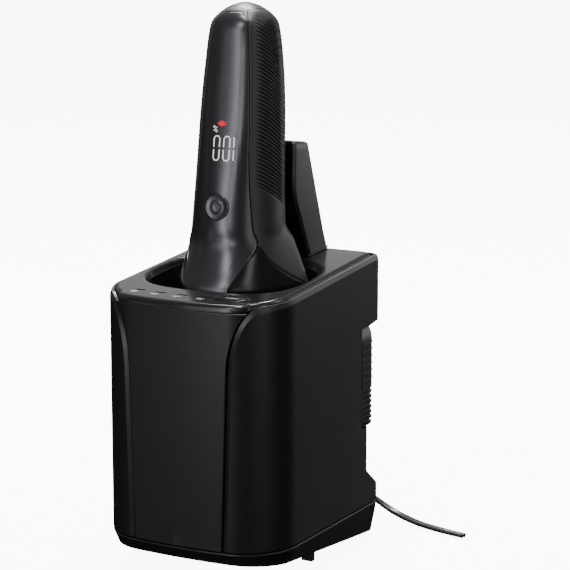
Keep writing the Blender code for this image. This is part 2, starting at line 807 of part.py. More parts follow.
def make_cord(material):
    loops = []
    steps = 26
    for i in range(steps + 1):
        share = i / steps
        ahead = cord_path(min(share + 0.01, 1)) - cord_path(max(share - 0.01, 0))
        ahead.normalize()
        across = ahead.cross(Vector((0, 0, 1))).normalized()
        up = across.cross(ahead)
        loop = []
        for k in range(8):
            angle = math.pi / 4 * (k + 0.5)
            loop.append(cord_path(share) + across * 2.0 * math.cos(angle) + up * 1.1 * math.sin(angle))
        loops.append(loop)
    return loft("power_cord", loops, material, pivot=(18, 65.0, 20.5))


# ---------------------------------------------------------------- drawer pieces


def make_front_panel(material):
    foot = SEAM_Z + GAP
    heights = [foot, 40, 70, 95, 102, 108, 113, 117, 120]
    outer = []
    inner = []
    for height in heights + [None]:
        for grid, inset in ((outer, 0.0), (inner, WALL)):
            row = []
            for j in range(13):
                across = -1 + j / 6
                z = height if height else DECK_Z - DECK_BELOW - 0.55
                x = across * (slot_x(z) - PANEL_SLOT)
                station = station_of_x(abs(x))
                px, py = plan_point(station, inset)
                row.append((math.copysign(px, x), py, z))
            grid.append(row)
    return shell_patch("front_panel", outer, inner, material, pivot=(0, -50, 60))


def make_tray(tray_material, cartridge_material):
    def frame(half_x, y_low, y_high, z):
        return [(-half_x, y_low, z), (half_x, y_low, z), (half_x, y_high, z), (-half_x, y_high, z)]

    loops = [frame(20.5, -53.0, 14.0, 18.2), frame(20.5, -53.0, 14.0, 62.0)]
    loops += [frame(18.9, -51.4, 12.4, 62.0), frame(18.9, -51.4, 12.4, 19.8)]
    loft("cleaning_tray", loops, tray_material, pivot=(0, -50, 60))
    cartridge = [frame(16.5, -49.0, -24.0, 20.2), frame(17.2, -49.6, -23.4, 24.0)]
    cartridge += [frame(17.2, -49.6, -23.4, 44.0), frame(16.0, -48.4, -24.6, 46.0)]
    loft("cleaning_cartridge", cartridge, cartridge_material, pivot=(0, -50, 60))


# ---------------------------------------------------------------- shaver pieces


def make_skin(name, ways, heights, material, low=None):
    """A sheet of the shaver's skin. low, when given, is the height of the lower edge at each way."""
    outer = []
    inner = []
    for share in heights:
        for grid, inset in ((outer, 0.0), (inner, SKIN)):
            row = []
            for way in ways:
                foot = low(abs(way)) if low else NECK_LOW_Z + 0.7
                row.append(shaver_point(way, mix(foot, SKIN_TOP_Z, share), inset))
            grid.append(row)
    return shell_patch(name, outer, inner, material)


def make_front_cover(material):
    ways = [-0.97, -0.7, -0.35, 0.0, 0.35, 0.7, 0.97]
    shares = [0, 0.045, 0.095, 0.14, 0.18, 0.22, 0.26, 0.3, 0.34, 0.44, 0.6, 0.76, 0.87, 0.93, 0.97, 1]
    cover = make_skin("front_cover", ways, shares, material)
    place = Vector(shaver_point(0.0, BUTTON_Z))
    cut(cover, turned("button_opening", place - BUTTON_AXIS * 4, BUTTON_AXIS, [(0, 6.0), (8, 6.0)], None, 24))
    return cover


def make_grips(material):
    shares = [0, 0.035, 0.08, 0.13, 0.19, 0.27, 0.42, 0.6, 0.76, 0.87, 0.93, 0.97, 1]
    for side, name in ((-1, "left"), (1, "right")):
        ways = [side * w for w in GRIP_WAYS]
        make_skin(f"grip_{name}", ways, shares, material, grip_low_z)


def make_back_cover(material):
    ways = [GRIP_LAST + 0.02, 2.6, 2.8, 3.0, -2.8, -2.6, -GRIP_LAST - 0.02]
    shares = [0, 0.06, 0.12, 0.18, 0.24, 0.42, 0.6, 0.76, 0.87, 0.93, 0.97, 1]
    cover = make_skin("back_cover", ways, shares, material, grip_low_z)
    cut(cover, block("trimmer_channel", (-7.4, 8, 118), (7.4, 26, 157), None))
    return cover


def make_handle_core(material):
    ways = ways_around()
    loops = [[shaver_point(w, z, CORE_OUT) for w in ways] for z in (151, 160, 172, 188, 204, 218, 230, 235)]
    loops += [[shaver_point(w, z, CORE_IN) for w in ways] for z in (235, 230, 218, 204, 188, 172, 160, 151)]
    core = loft("handle_core", loops, material, ring=True)
    place = Vector(shaver_point(0.0, BUTTON_Z))
    cut(core, turned("stem_opening", place - BUTTON_AXIS * 7, BUTTON_AXIS, [(0, 2.1), (8, 2.1)], None, 12))
    cut(core, block("display_opening", (-7.0, -16, 178), (7.0, -8, 193), None))
    return core


def make_end_cap(material):
    ways = ways_around()
    heights = (SKIN_TOP_Z + GAP, 246.8, 247.6, 248.3, HANDLE_END_Z - 0.1)
    loops = [[shaver_point(w, z) for w in ways] for z in heights]
    loops.insert(0, [shaver_point(w, SKIN_TOP_Z + GAP, 2.8) for w in ways])
    loops.insert(0, [shaver_point(w, 244.0, 4.6) for w in ways])
    return loft("end_cap", loops, material)


def make_power_button(material):
    place = Vector(shaver_point(0.0, BUTTON_Z))
    stations = [(-8.8, 1.5), (-1.3, 1.5), (-1.3, 5.7), (-0.5, 5.7), (-0.25, 5.3), (-0.4, 4.6), (-0.75, 3.4),
                (-0.75, 2.2), (-0.3, 1.9)]
    return turned("power_button", place, BUTTON_AXIS, stations, material, 24, pivot=place)


def leaning_block(name, half_x, front, rear, low, high, material):
    """A block that follows the handle's lean; front and rear are distances from its middle line."""
    loops = []
    for i in range(5):
        z = mix(low, high, i / 4)
        middle = along(z, CENTRE_Y)
        loops.append([(-half_x, middle + front, z), (half_x, middle + front, z),
                      (half_x, middle + rear, z), (-half_x, middle + rear, z)])
    return loft(name, loops, material)


def make_electronics(board_material, display_material, battery_material):
    leaning_block("main_board", 7.5, -9.6, -8.4, 172, 216, board_material)
    leaning_block("display_module", 6.2, -12.6, -10.2, 179, 192, display_material)
    start = Vector((0, 4.6, 174))
    end = Vector((0, 8.4, 222))
    length = (end - start).length
    stations = [(0, 6.6), (0.8, 7.2), (length - 0.8, 7.2), (length, 6.6)]
    turned("battery", start, end - start, stations, battery_material, 18)


def make_motor(stator_material, mover_material):
    outline = [(-13, 136), (-13, 120), (-9.5, 120), (-9.5, 132), (4.0, 132), (4.0, 120), (7, 120), (7, 136)]
    prism_x("motor_stator", outline, -10, 10, stator_material)
    loops = []
    for z, half_x, y_low, y_high in ((103.5, 1.6, -8.5, -5.5), (117.0, 1.6, -8.5, -5.5),
                                     (117.0, 8.0, -8.8, 3.4), (131.0, 8.0, -8.8, 3.4)):
        loops.append([(-half_x, y_low, z), (half_x, y_low, z), (half_x, y_high, z), (-half_x, y_high, z)])
    loft("motor_mover", loops, mover_material, pivot=(0, HEAD_Y, 124))


def make_neck_housing(material):
    ways = ways_around()
    loops = []
    for share in (0, 0.25, 0.5, 0.75, 1):
        loop = []
        for way in ways:
            edge = grip_low_z(abs(way)) - GAP
            inset = 0.0 if abs(way) > 1 else NECK_OUT
            loop.append(shaver_point(way, mix(NECK_LOW_Z, edge, share), inset))
        loops.append(loop)
    for share in (0, 0.35, 0.7, 1):
        loop = []
        for way in ways:
            edge = grip_low_z(abs(way)) - GAP
            loop.append(shaver_point(way, mix(edge, 150.0, share), NECK_OUT))
        loops.append(loop)
    for z in (150.0, 142.0, 134.0, 126.0, 119.0, NECK_LOW_Z):
        loops.append([shaver_point(way, z, NECK_IN) for way in ways])
    return loft("neck_housing", loops, material, ring=True)


def make_neck_seal(material):
    ways = ways_around()
    outer = [shaver_point(w, 114.0, NECK_IN + 0.6) for w in ways]
    inner = []
    for x, y, z in outer:
        angle = math.atan2(y - HEAD_Y, x)
        inner.append((5.0 * math.cos(angle), HEAD_Y + 5.0 * math.sin(angle)))
    loops = []
    for line, z in ((outer, 113.2), (outer, 115.0), (inner, 115.0), (inner, 113.2)):
        loops.append([(p[0], p[1], z) for p in line])
    return loft("neck_seal", loops, material, ring=True)


def head_loop(inset, z, power=4.2, count=28):
    loop = []
    for i in range(count):
        angle = 2 * math.pi * (i + 0.5) / count
        c = math.cos(angle)
        s = math.sin(angle)
        half_x = HEAD_HALF_X - inset
        half_y = HEAD_HALF_Y - inset
        reach = (abs(c / half_x) ** power + abs(s / half_y) ** power) ** (-1 / power)
        loop.append((reach * c, HEAD_Y + reach * s, z))
    return loop


def round_loop(half_x, half_y, z, count=28):
    loop = []
    for i in range(count):
        angle = 2 * math.pi * (i + 0.5) / count
        loop.append((half_x * math.cos(angle), HEAD_Y + half_y * math.sin(angle), z))
    return loop


def make_head(ring_material, carrier_material, frame_material, steel_material, button_material):
    pivot = (0, HEAD_Y, TILT_Z)
    ring = ((14, 9, 107.4), (14, 9, 109.6), (9, 5.5, 109.6), (9, 5.5, 107.4))
    loops = [round_loop(half_x, half_y, z) for half_x, half_y, z in ring]
    loft("gimbal_ring", loops, ring_material, ring=True, pivot=(0, HEAD_Y, SWING_Z))
    loops = [head_loop(2.0, 99.6), head_loop(1.0, 100.6), head_loop(1.0, 105), head_loop(2.4, HEAD_TOP_Z)]
    loops += [round_loop(7.5, 7.0, HEAD_TOP_Z), round_loop(7.5, 7.0, 99.6)]
    carrier = loft("head_carrier", loops, carrier_material, ring=True, pivot=pivot)
    for side, name in ((-1, "left"), (1, "right")):
        x = sorted((side * 27.6, side * 34.0))
        pocket = block(f"pocket_{name}", (x[0], HEAD_Y - 5.4, 100.9), (x[1], HEAD_Y + 5.4, 104.6), None)
        cut(carrier, pocket)
        x = sorted((side * 28.8, side * 32.4))
        low = (x[0], HEAD_Y - 5.0, 101.3)
        high = (x[1], HEAD_Y + 5.0, 104.2)
        block(f"release_button_{name}", low, high, button_material, pivot=(side * 30, HEAD_Y, 102.7))
    loops = [head_loop(1.2, 84.0), head_loop(0.2, 86.0), head_loop(0.0, 99.2)]
    loops += [head_loop(3.0, 99.2, 6.0), head_loop(3.0, 84.0, 6.0)]
    loft("foil_frame", loops, frame_material, ring=True, pivot=pivot)
    make_foils(steel_material, pivot)


def foil_line(radius, count=6):
    """Three arches across Y that open upwards, from front to rear, as (y, z)."""
    pitch = FOIL_PITCH
    points = []
    for middle in (-pitch, 0.0, pitch):
        for i in range(count + 1):
            angle = math.pi * i / count
            points.append((HEAD_Y + middle - radius * math.cos(angle), 86.5 - radius * math.sin(angle)))
    return points


def make_foils(material, pivot):
    outer = foil_line(3.5)
    inner = [(y, z + 0.1) for y, z in reversed(foil_line(2.9))]
    ends = [(outer[-1][0], 89.5), (inner[0][0], 89.5)]
    start = [(inner[-1][0], 89.5), (outer[0][0], 89.5)]
    bridge = bridge_arches(inner)
    prism_x("outer_foils", outer + ends + bridge + start, -21.5, 21.5, material, pivot=pivot)
    blades = []
    reach = 2.4
    for middle in (-FOIL_PITCH, 0.0, FOIL_PITCH):
        for i in range(5):
            angle = math.pi * i / 4
            y = HEAD_Y + middle - reach * math.cos(angle)
            blades.append((y, 86.8 - reach * math.sin(angle)))
        blades.append((HEAD_Y + middle + reach, 92.0))
        if middle < FOIL_PITCH:
            blades.append((HEAD_Y + middle + FOIL_PITCH - reach, 92.0))
    blades += [(blades[-1][0], 95.0), (blades[0][0], 95.0)]
    prism_x("inner_blades", blades, -19.5, 19.5, material, pivot=(0, HEAD_Y, 92))


def bridge_arches(line):
    """Lifts the joints between inner arches a little, so that the sheet keeps its thickness there."""
    lifted = []
    per_arch = len(line) // 3
    for index, (y, z) in enumerate(line):
        at_joint = index % per_arch in (0, per_arch - 1) and 0 < index < len(line) - 1
        lifted.append((y, z + 0.9 if at_joint else z))
    return lifted


def make_trimmer(slide_material, blade_material):
    lean = (19.0 - 15.0) / (156.0 - 130.0)

    def line(z, depth):
        return 15.0 + lean * (z - 130.0) - depth

    slide = [(line(134, 1.6), 134), (line(156, 1.6), 156), (line(156, 0), 156), (line(152, 0), 152),
             (line(151.5, -0.6), 151.5), (line(146, -0.6), 146), (line(145.5, 0), 145.5), (line(134, 0), 134)]
    prism_x("trimmer_slide", slide, -7.0, 7.0, slide_material, pivot=(0, 16, 145))
    blades = [(line(130.4, 0.9), 130.4), (line(133.7, 1.6), 133.7), (line(133.7, 0), 133.7),
              (line(130.4, 0.3), 130.4)]
    prism_x("trimmer_blades", blades, -6.6, 6.6, blade_material, pivot=(0, 16, 145))


# ---------------------------------------------------------------- assembly


def build():
    clear_scene()
    satin = satin_black()
    gloss = gloss_black()
    rubber = grip_rubber()
    metallic = graphite()
    pale = pale_plastic()
    clear = clear_plastic()
    green = circuit_green()
    steel = bright_steel()

    make_base(satin)
    make_base_screws(steel)
    make_feet(rubber)
    make_side_panel("side_panel_left", -1, satin)
    make_side_panel("side_panel_right", 1, satin)
    make_rear_shell(satin)
    make_vent_grille(satin)
    make_deck(gloss)
    make_lamps(clear)
    make_select_button(gloss)
    make_well_cup(satin)
    make_post(satin)
    make_contacts(steel)
    make_fan(satin, satin)
    make_heater(steel)
    make_pump(pale, pale, clear)
    make_dock_board(green)
    make_power_inlet(satin, satin)
    make_cord(satin)
    make_front_panel(metallic)
    make_tray(clear, pale)

    make_front_cover(metallic)
    make_grips(rubber)
    make_back_cover(satin)
    make_handle_core(satin)
    make_end_cap(metallic)
    make_power_button(metallic)
    make_electronics(green, gloss, steel)
    make_motor(steel, steel)
    make_neck_housing(gloss)
    make_neck_seal(rubber)
    make_head(pale, satin, satin, steel, satin)
    make_trimmer(gloss, steel)


build()
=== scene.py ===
"""Looks for the foil shaver that stands head-down in its cleaning and charging dock.

Sizes are in millimetres unless a name ends in _m; mesh_object() and round_edges() turn them into metres. The
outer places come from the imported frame's boxes; the others restate driving dimensions of the CAD source.
"""

import math

import bmesh
import bpy
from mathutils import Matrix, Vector


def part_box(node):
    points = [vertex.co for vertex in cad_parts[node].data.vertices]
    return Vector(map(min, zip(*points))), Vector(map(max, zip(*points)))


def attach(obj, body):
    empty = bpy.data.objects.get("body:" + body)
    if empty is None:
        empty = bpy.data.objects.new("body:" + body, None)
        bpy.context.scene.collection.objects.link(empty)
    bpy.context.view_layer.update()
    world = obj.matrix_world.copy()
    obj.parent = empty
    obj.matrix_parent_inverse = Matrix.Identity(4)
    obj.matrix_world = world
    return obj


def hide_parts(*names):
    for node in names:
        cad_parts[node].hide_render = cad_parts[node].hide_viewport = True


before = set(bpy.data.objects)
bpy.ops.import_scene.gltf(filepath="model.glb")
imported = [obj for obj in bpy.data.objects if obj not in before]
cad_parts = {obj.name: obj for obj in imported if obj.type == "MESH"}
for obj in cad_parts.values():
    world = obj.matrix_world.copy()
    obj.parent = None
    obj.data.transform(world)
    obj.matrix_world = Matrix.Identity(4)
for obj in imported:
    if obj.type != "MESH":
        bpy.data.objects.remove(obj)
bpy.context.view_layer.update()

MM = 0.001
GAP = 0.3
LOW, HIGH = range(2)
X, Y, Z = range(3)


def box_side(node, end, axis):
    """One side of a CAD node's box, rounded to a tenth of a millimetre."""
    return round(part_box(node)[end][axis] / MM, 1)


# Dock outline
HALF_WIDTH = box_side("side_panel_right", HIGH, X)
HALF_DEPTH = box_side("rear_shell", HIGH, Y)
FRONT_BULGE = 5.0
FRONT_RADIUS = 21.0
REAR_RADIUS = 4.0
FLAT = HALF_WIDTH - FRONT_RADIUS
CORNER_END = FLAT + FRONT_RADIUS * math.pi / 2
CORNER_Y = FRONT_RADIUS - HALF_DEPTH
SEAM_Z = 16.4
UNDERSIDE_FRONT_Z = 10.2
UNDERSIDE_REAR_Z = 0.7
SCREW_PLACE = 30
SCREW_HOLE = 1.8
DECK_Z = 124.3
DECK_RISE = math.tan(math.radians(5.1))
DECK_PROUD = 1.2
DECK_BELOW = 1.8
DECK_ACROSS = Vector((0, 1, DECK_RISE)).normalized()
DECK_NORMAL = Vector((0, -DECK_RISE, 1)).normalized()
DECK_STEP = 31.0
DECK_REAR_Y = 49.0
DECK_CORNER = 4.0
OVAL_POWER = 0.6
WALL = 2.2
SLOT_FOOT_X = 22.5
SLOT_WIDENING = 2.5
SLOT_FLARE = 12.0
SLOT_FLARE_Z = 95.0
PANEL_SLOT = 0.6
BAND = 1.9
BAND_DEPTH = 0.9
WELL_Y = -5.9
WELL_HALF_X = 37.6
WELL_HALF_Y = 30.6
WELL_POWER = 2.9
CUP_FLOOR_Z = 75.0
FOOT_REAR_Y = 51.4
FOOT_TOP_Z = 25
RECESS_Y = 41.0
RECESS_LOW_Z = 33
NOTCH_Y = 33.0
NOTCH_LOW_Z = 54.2
NOTCH_HIGH_Z = 101.0
NOTCH_RADIUS = 0.8
OVERHANG_Z = 102.5
GRILLE_Y = box_side("vent_grille", HIGH, Y)
GRILLE_FOOT_Z = box_side("vent_grille", LOW, Z)
GRILLE_TOP_Z = box_side("vent_grille", HIGH, Z)
LOUVRE_COUNT = 7
LOUVRE_TOP_Z = GRILLE_TOP_Z - 28.2
LOUVRE_PITCH = (LOUVRE_TOP_Z - GRILLE_FOOT_Z - 1.2) / LOUVRE_COUNT
POST_HALF_X = box_side("charging_post", HIGH, X)
POST_TOP_Z = box_side("charging_post", HIGH, Z)
POST_CORNER = 2.4
POST_EDGE_Y = [(133, 30.0), (150, 22.0), (163, 16.0), (186, 15.8)]
POST_MIDDLE_Y = [(133, 33.5), (150, 27.0), (163, 21.4), (186, 21.4)]
SOCKET_X = 18.0
SOCKET_Z = 20.5
PLUG_POWER = 0.55

# Shaver outline, as (height, value) where it changes with height
HANDLE_RADIUS = [(140, 20.6), (151, 20.0), (168, 19.2), (188, 18.5), (210, 17.5), (225, 16.3),
                 (235, 15.2), (241, 13.7), (245.3, 9.6), (247.6, 5.6), (249.0, 1.2)]
HANDLE_POWER = [(140, 2.0), (168, 2.1), (184, 2.35), (200, 2.75), (236, 2.75), (249, 2.4)]
VIEWED_POWER = 2.4
VIEWED_ANGLE = math.radians(61.3)
CENTRE_Y = [(112.5, -6.0), (125, -5.0), (135, -3.0), (144, -1.6), (151, -1.2), (168, 0.0),
            (188, 1.9), (210, 3.8), (225, 4.7), (249, 5.2)]
SEAM_ANGLE = [(144, 52), (149, 49), (168, 43), (184, 40), (230, 36), (240, 35)]
SIDE_ANGLE = math.radians(100)
NECK_TOP_Z = 152.0
NECK_FULL_Z = 144.0
TONGUE_X = [(112.5, 8.5), (125, 10.6), (135, 14.4), (144, 17.8), (152, 16.2), (160, 15.0)]
TONGUE_Y = [(112.5, -27.0), (125, -29.8), (135, -22.4), (144, -14.6), (152, -15.0), (160, -15.0)]
TONGUE_CROWN = [(112.5, 0.8), (125, 1.2), (135, 3.6), (144, 7.5), (152, 6.1), (160, 5.8)]
TONGUE_POWER = 2.6
CHEEK_OUT = 0.76
CHEEK_BACK = 0.25
SHOULDER_X = [(112.5, 33.0), (125, 30.0), (135, 26.2), (144, 22.3), (152, 20.0)]
SHOULDER_Y = [(112.5, 6.0), (125, 8.0), (144, 7.0), (152, 4.0)]
NECK_REAR_Y = [(112.5, 10.5), (125, 13.5), (135, 15.2), (144, 17.3), (152, 18.7)]
NECK_REAR_POWER = 0.8
NECK_LOW_Z = box_side("neck_housing", LOW, Z)
NECK_OUT = 3.5
NECK_IN = 5.2
SEAM_APEX_Z = 143.7
GRIP_TIP_Z = box_side("grip_right", LOW, Z)
TIP_SLANT = 1.5
SKIN = 1.5
SKIN_TOP_Z = box_side("front_cover", HIGH, Z)
HANDLE_TOP_Z = box_side("end_cap", HIGH, Z)
COVER_LAST = 0.984
COVER_CORNER = 7.0
COVER_CORNER_START = 0.45
GRIP_FIRST = 1.003
GRIP_LAST = 2.45
FINE_SHARE = 0.22
RIB_PITCH = 1.73
RIB_DEPTH = 0.8
RIB_LOW_Z = 160.5
RIB_FIRST = 1.17
BUTTON_Z = 160.9
BUTTON_LEAN = math.atan(0.12)
BUTTON_AXIS = Vector((0, -math.cos(BUTTON_LEAN), math.sin(BUTTON_LEAN)))
DISPLAY_LOW_Z = 181.2
DISPLAY_HIGH_Z = 191.6
DISPLAY_MIDDLE_Z = (DISPLAY_LOW_Z + DISPLAY_HIGH_Z) / 2
DISPLAY_HALF = (DISPLAY_HIGH_Z - DISPLAY_LOW_Z) / 2
DIGIT_WIDTH = 2.9
STROKE = 0.54
ICON_X = -0.3
ICON_Z = DISPLAY_HIGH_Z + 5.5

# Studio
FLOOR_HALF_M = 30.0
FLOOR_GLOW = 9.0
SKY_LOW = 0.007
SKY_HIGH = 0.31
SKY_SIDE = 0.08
SKY_TOWARDS = (-0.48, 0.877, 0.0)
CAMERA_PLACE_M = (0.46257, -0.80268, 0.29814)
CAMERA_AZIMUTH = 28.715
CAMERA_PITCH = 10.716
CAMERA_LENS = 132.58


# Materials


def set_inputs(node, inputs):
    """Sets a node's inputs by name or number; a value is a socket to link or a plain value."""
    for key, value in inputs.items():
        if isinstance(value, bpy.types.NodeSocket):
            node.id_data.links.new(value, node.inputs[key])
        else:
            node.inputs[key].default_value = value


def add_node(tree, kind, inputs=None, **settings):
    made = tree.nodes.new(kind)
    for key, value in settings.items():
        setattr(made, key, value)
    set_inputs(made, inputs or {})
    return made


def add_noise(tree, place, scale, detail=3.0, roughness=0.5):
    inputs = {"Vector": place, "Scale": scale, "Detail": detail, "Roughness": roughness}
    return add_node(tree, "ShaderNodeTexNoise", inputs).outputs["Fac"]


def add_range(tree, value, low, high, source_low=0.3, source_high=0.7):
    inputs = {"Value": value, "From Min": source_low, "From Max": source_high, "To Min": low, "To Max": high}
    return add_node(tree, "ShaderNodeMapRange", inputs).outputs["Result"]


def add_blend(tree, share, *colours):
    """Mixes two colours; each is a socket or red, green and blue."""
    first, second = [c if isinstance(c, bpy.types.NodeSocket) else (*c, 1.0) for c in colours]
    return add_node(tree, "ShaderNodeMix", {0: share, 6: first, 7: second}, data_type="RGBA").outputs[2]


def add_bump(tree, height, strength, distance_m):
    inputs = {"Height": height, "Strength": strength, "Distance": distance_m}
    return add_node(tree, "ShaderNodeBump", inputs).outputs["Normal"]


def shade(colour, factor, lift=0.0):
    return tuple(min(c * factor + lift, 1.0) for c in colour)


def new_material(name):
    """A new material, with its node tree, its shader and its coordinates in the object's frame."""
    made = bpy.data.materials.new(name)
    made.use_nodes = True
    tree = made.node_tree
    return made, tree, tree.nodes["Principled BSDF"], add_node(tree, "ShaderNodeTexCoord").outputs["Object"]


def finish(name, colour, roughness, metallic=0.0, coat=0.0, grain=2600.0, grain_depth=0.12, uneven=0.05,
           edge_wear_and_highlight=0.4, stretch=(1.0, 1.0, 1.0), sheen=0.0, flakes=0.0, clear=0.0):
    """Moulded, lacquered or metal surface: fine grain, uneven sheen, colour drift, and convex edges painted
    lighter, partly as wear and partly as a painted edge highlight.
    """
    made, tree, shader, coordinates = new_material(name)
    place = add_node(tree, "ShaderNodeMapping", {"Vector": coordinates, "Scale": stretch}).outputs["Vector"]
    drift = add_range(tree, add_noise(tree, place, 42.0, 4.0), 0.0, 1.0)
    tint = add_blend(tree, drift, shade(colour, 1 - uneven), shade(colour, 1 + uneven))
    if flakes:
        sparkle = add_node(tree, "ShaderNodeTexVoronoi", {"Vector": place, "Scale": 5200.0}).outputs["Color"]
        tint = add_blend(tree, add_range(tree, sparkle, 0.0, flakes, 0.4, 1.0), tint, shade(colour, 3.2))
    # Convex edges, found by pointiness, are painted lighter: partly wear, partly a painted highlight along
    # edges that catch the light.
    pointed = add_node(tree, "ShaderNodeNewGeometry").outputs["Pointiness"]
    tint = add_blend(tree, add_range(tree, pointed, 0.0, edge_wear_and_highlight, 0.52, 0.62), tint, shade(colour, 2.4, 0.02))
    smudge = add_noise(tree, place, 95.0, 5.0, 0.6)
    blur = add_range(tree, smudge, roughness * (1 - uneven), roughness * (1 + uneven))
    grit = add_bump(tree, add_noise(tree, place, grain, 2.0), grain_depth, 0.0001)
    set_inputs(shader, {"Base Color": tint, "Roughness": blur, "Normal": grit, "Metallic": metallic,
                        "Coat Weight": coat, "Coat Roughness": 0.04, "Sheen Weight": sheen,
                        "Transmission Weight": clear})
    return made


def glowing(name, colour, strength):
    made, tree, shader, coordinates = new_material(name)
    cells = add_range(tree, add_noise(tree, coordinates, 900.0, 2.0), 0.0, 1.0)
    tint = add_blend(tree, cells, shade(colour, 0.86), colour)
    set_inputs(shader, {"Base Color": tint, "Emission Color": tint, "Emission Strength": strength,
                        "Roughness": 0.3})
    return made


def perforated_steel():
    """Foil: bright steel with rows of fine dark holes."""
    steel = (0.62, 0.61, 0.59)
    made = finish("foil_steel", steel, 0.24, 1.0, grain=1800, edge_wear_and_highlight=0.1)
    tree = made.node_tree
    place = add_node(tree, "ShaderNodeTexCoord").outputs["Object"]
    cells = add_node(tree, "ShaderNodeTexVoronoi", {"Vector": place, "Scale": 1150.0, "Randomness": 0.12})
    distance = cells.outputs["Distance"]
    tint = add_blend(tree, add_range(tree, distance, 1.0, 0.0, 0.26, 0.36), steel, (0.015, 0.015, 0.015))
    rim = add_bump(tree, distance, 0.3, 0.0002)
    set_inputs(tree.nodes["Principled BSDF"], {"Base Color": tint, "Normal": rim})
    return made


def board_green():
    """Circuit board: green lacquer over straight copper tracks."""
    made = finish("board_green", (0.02, 0.13, 0.055), 0.36, grain=1500, edge_wear_and_highlight=0.1)
    tree = made.node_tree
    place = add_node(tree, "ShaderNodeTexCoord").outputs["Object"]
    tracks = {"Vector": place, "Scale": 260.0, "Color1": (0.02, 0.13, 0.055, 1), "Mortar Size": 0.03,
              "Color2": (0.015, 0.1, 0.045, 1), "Mortar": (0.05, 0.28, 0.1, 1)}
    tint = add_node(tree, "ShaderNodeTexBrick", tracks).outputs["Color"]
    set_inputs(tree.nodes["Principled BSDF"], {"Base Color": tint})
    return made


SATIN = finish("satin_plastic", (0.0105, 0.0105, 0.0115), 0.36, grain_depth=0.14)
POST = finish("post_plastic", (0.02, 0.02, 0.0215), 0.36)
BEZEL = finish("bezel_plastic", (0.0105, 0.0105, 0.0115), 0.26, grain_depth=0.08)
GLOSS = finish("gloss_plastic", (0.013, 0.013, 0.0138), 0.19, grain=900, grain_depth=0.012)
NECK = finish("neck_plastic", (0.004, 0.004, 0.0045), 0.24, grain=1800, grain_depth=0.02)
FRONT = finish("front_lacquer", (0.013, 0.013, 0.0145), 0.36, 0.2, grain_depth=0.05, flakes=0.2)
GRAPHITE = finish("graphite_lacquer", (0.076, 0.077, 0.083), 0.26, 0.8, grain_depth=0.03, uneven=0.02,
                  edge_wear_and_highlight=0.08, flakes=0.12)
RUBBER = finish("grip_rubber", (0.021, 0.0215, 0.023), 0.44, grain=2000, sheen=0.05)
RIM = finish("rim_plastic", (0.03, 0.0305, 0.0325), 0.4, grain=2000, grain_depth=0.06, edge_wear_and_highlight=0.1)
FOOT_RUBBER = finish("foot_rubber", (0.02, 0.02, 0.02), 0.75, grain=1500, grain_depth=0.4)
CORD_SKIN = finish("cord_skin", (0.03, 0.03, 0.032), 0.27, grain=1400, grain_depth=0.06)
PALE = finish("pale_plastic", (0.55, 0.56, 0.56), 0.45, grain_depth=0.15, edge_wear_and_highlight=0.2)
STEEL = finish("brushed_steel", (0.6, 0.595, 0.58), 0.27, 1.0, grain=900, grain_depth=0.2,
               stretch=(0.06, 1, 1))
GOLD = finish("contact_gold", (0.72, 0.5, 0.2), 0.2, 1.0, grain=1600, grain_depth=0.05)
FOIL = perforated_steel()
BOARD = board_green()
LENS = finish("lamp_lens", (0.012, 0.012, 0.013), 0.2, coat=0.5, grain_depth=0.05)
PRINT = finish("print_ink", (0.34, 0.34, 0.35), 0.5, grain=3000, grain_depth=0.1, edge_wear_and_highlight=0.0)
DIGITS = glowing("display_white", (0.86, 0.88, 0.9), 0.75)
CHARGE = glowing("display_red", (0.8, 0.012, 0.035), 0.42)
CLEAR = finish("clear_plastic", (0.5, 0.58, 0.62), 0.12, grain=1500, grain_depth=0.05, edge_wear_and_highlight=0.2, clear=0.75)


# Numbers and curves


def mix(a, b, share):
    return a + (b - a) * share


def clamp(value):
    return min(max(value, 0.0), 1.0)


def steps(low, high, count):
    return [mix(low, high, i / count) for i in range(count + 1)]


def spaced(stops, pitch):
    """Values through the stops, no further apart than pitch."""
    values = [stops[0]]
    for a, b in zip(stops, stops[1:]):
        values += steps(a, b, max(1, math.ceil((b - a) / pitch)))[1:]
    return values


def edged(values, first, second):
    """Adds two closely spaced values at both ends of an even run, for a rounded border."""
    low = values[0]
    high = values[-1]
    return [low, low + first, low + second] + values[1:-1] + [high - second, high - first, high]


def along(value, stations):
    """Smooth curve through (position, value) stations."""
    if value <= stations[0][0]:
        return stations[0][1]
    if value >= stations[-1][0]:
        return stations[-1][1]
    index = 0
    while stations[index + 1][0] < value:
        index += 1
    (x0, y0), (x1, y1) = stations[index], stations[index + 1]
    before = stations[max(index - 1, 0)]
    after = stations[min(index + 2, len(stations) - 1)]
    slope0 = (y1 - before[1]) / (x1 - before[0])
    slope1 = (after[1] - y0) / (after[0] - x0)
    width = x1 - x0
    t = (value - x0) / width
    square = t * t
    cube = square * t
    return ((2 * cube - 3 * square + 1) * y0 + (cube - 2 * square + t) * width * slope0
            + (3 * square - 2 * cube) * y1 + (cube - square) * width * slope1)


def halve(low, high, is_below, rounds):
    """The place between low and high up to which is_below holds, by halving."""
    for _ in range(rounds):
        middle = (low + high) / 2
        if is_below(middle):
            low = middle
        else:
            high = middle
    return low


def corner_arc(x, y, radius, count, first=0):
    """A quarter circle round (x, y), counter-clockwise from the right."""
    angles = [math.pi / 2 * i / count for i in range(first, count + 1)]
    return [(x + radius * math.cos(a), y + radius * math.sin(a)) for a in angles]


def turns(count, shift=0.0):
    return [2 * math.pi * (i + shift) / count for i in range(count)]


def rounded_oval(half_a, half_b, power, count):
    """Points (a, b) round an oval; a lower power makes it squarer."""
    def squared(value):
        return math.copysign(abs(value) ** power, value)

    return [(half_a * squared(math.cos(a)), half_b * squared(math.sin(a))) for a in turns(count, 0.5)]


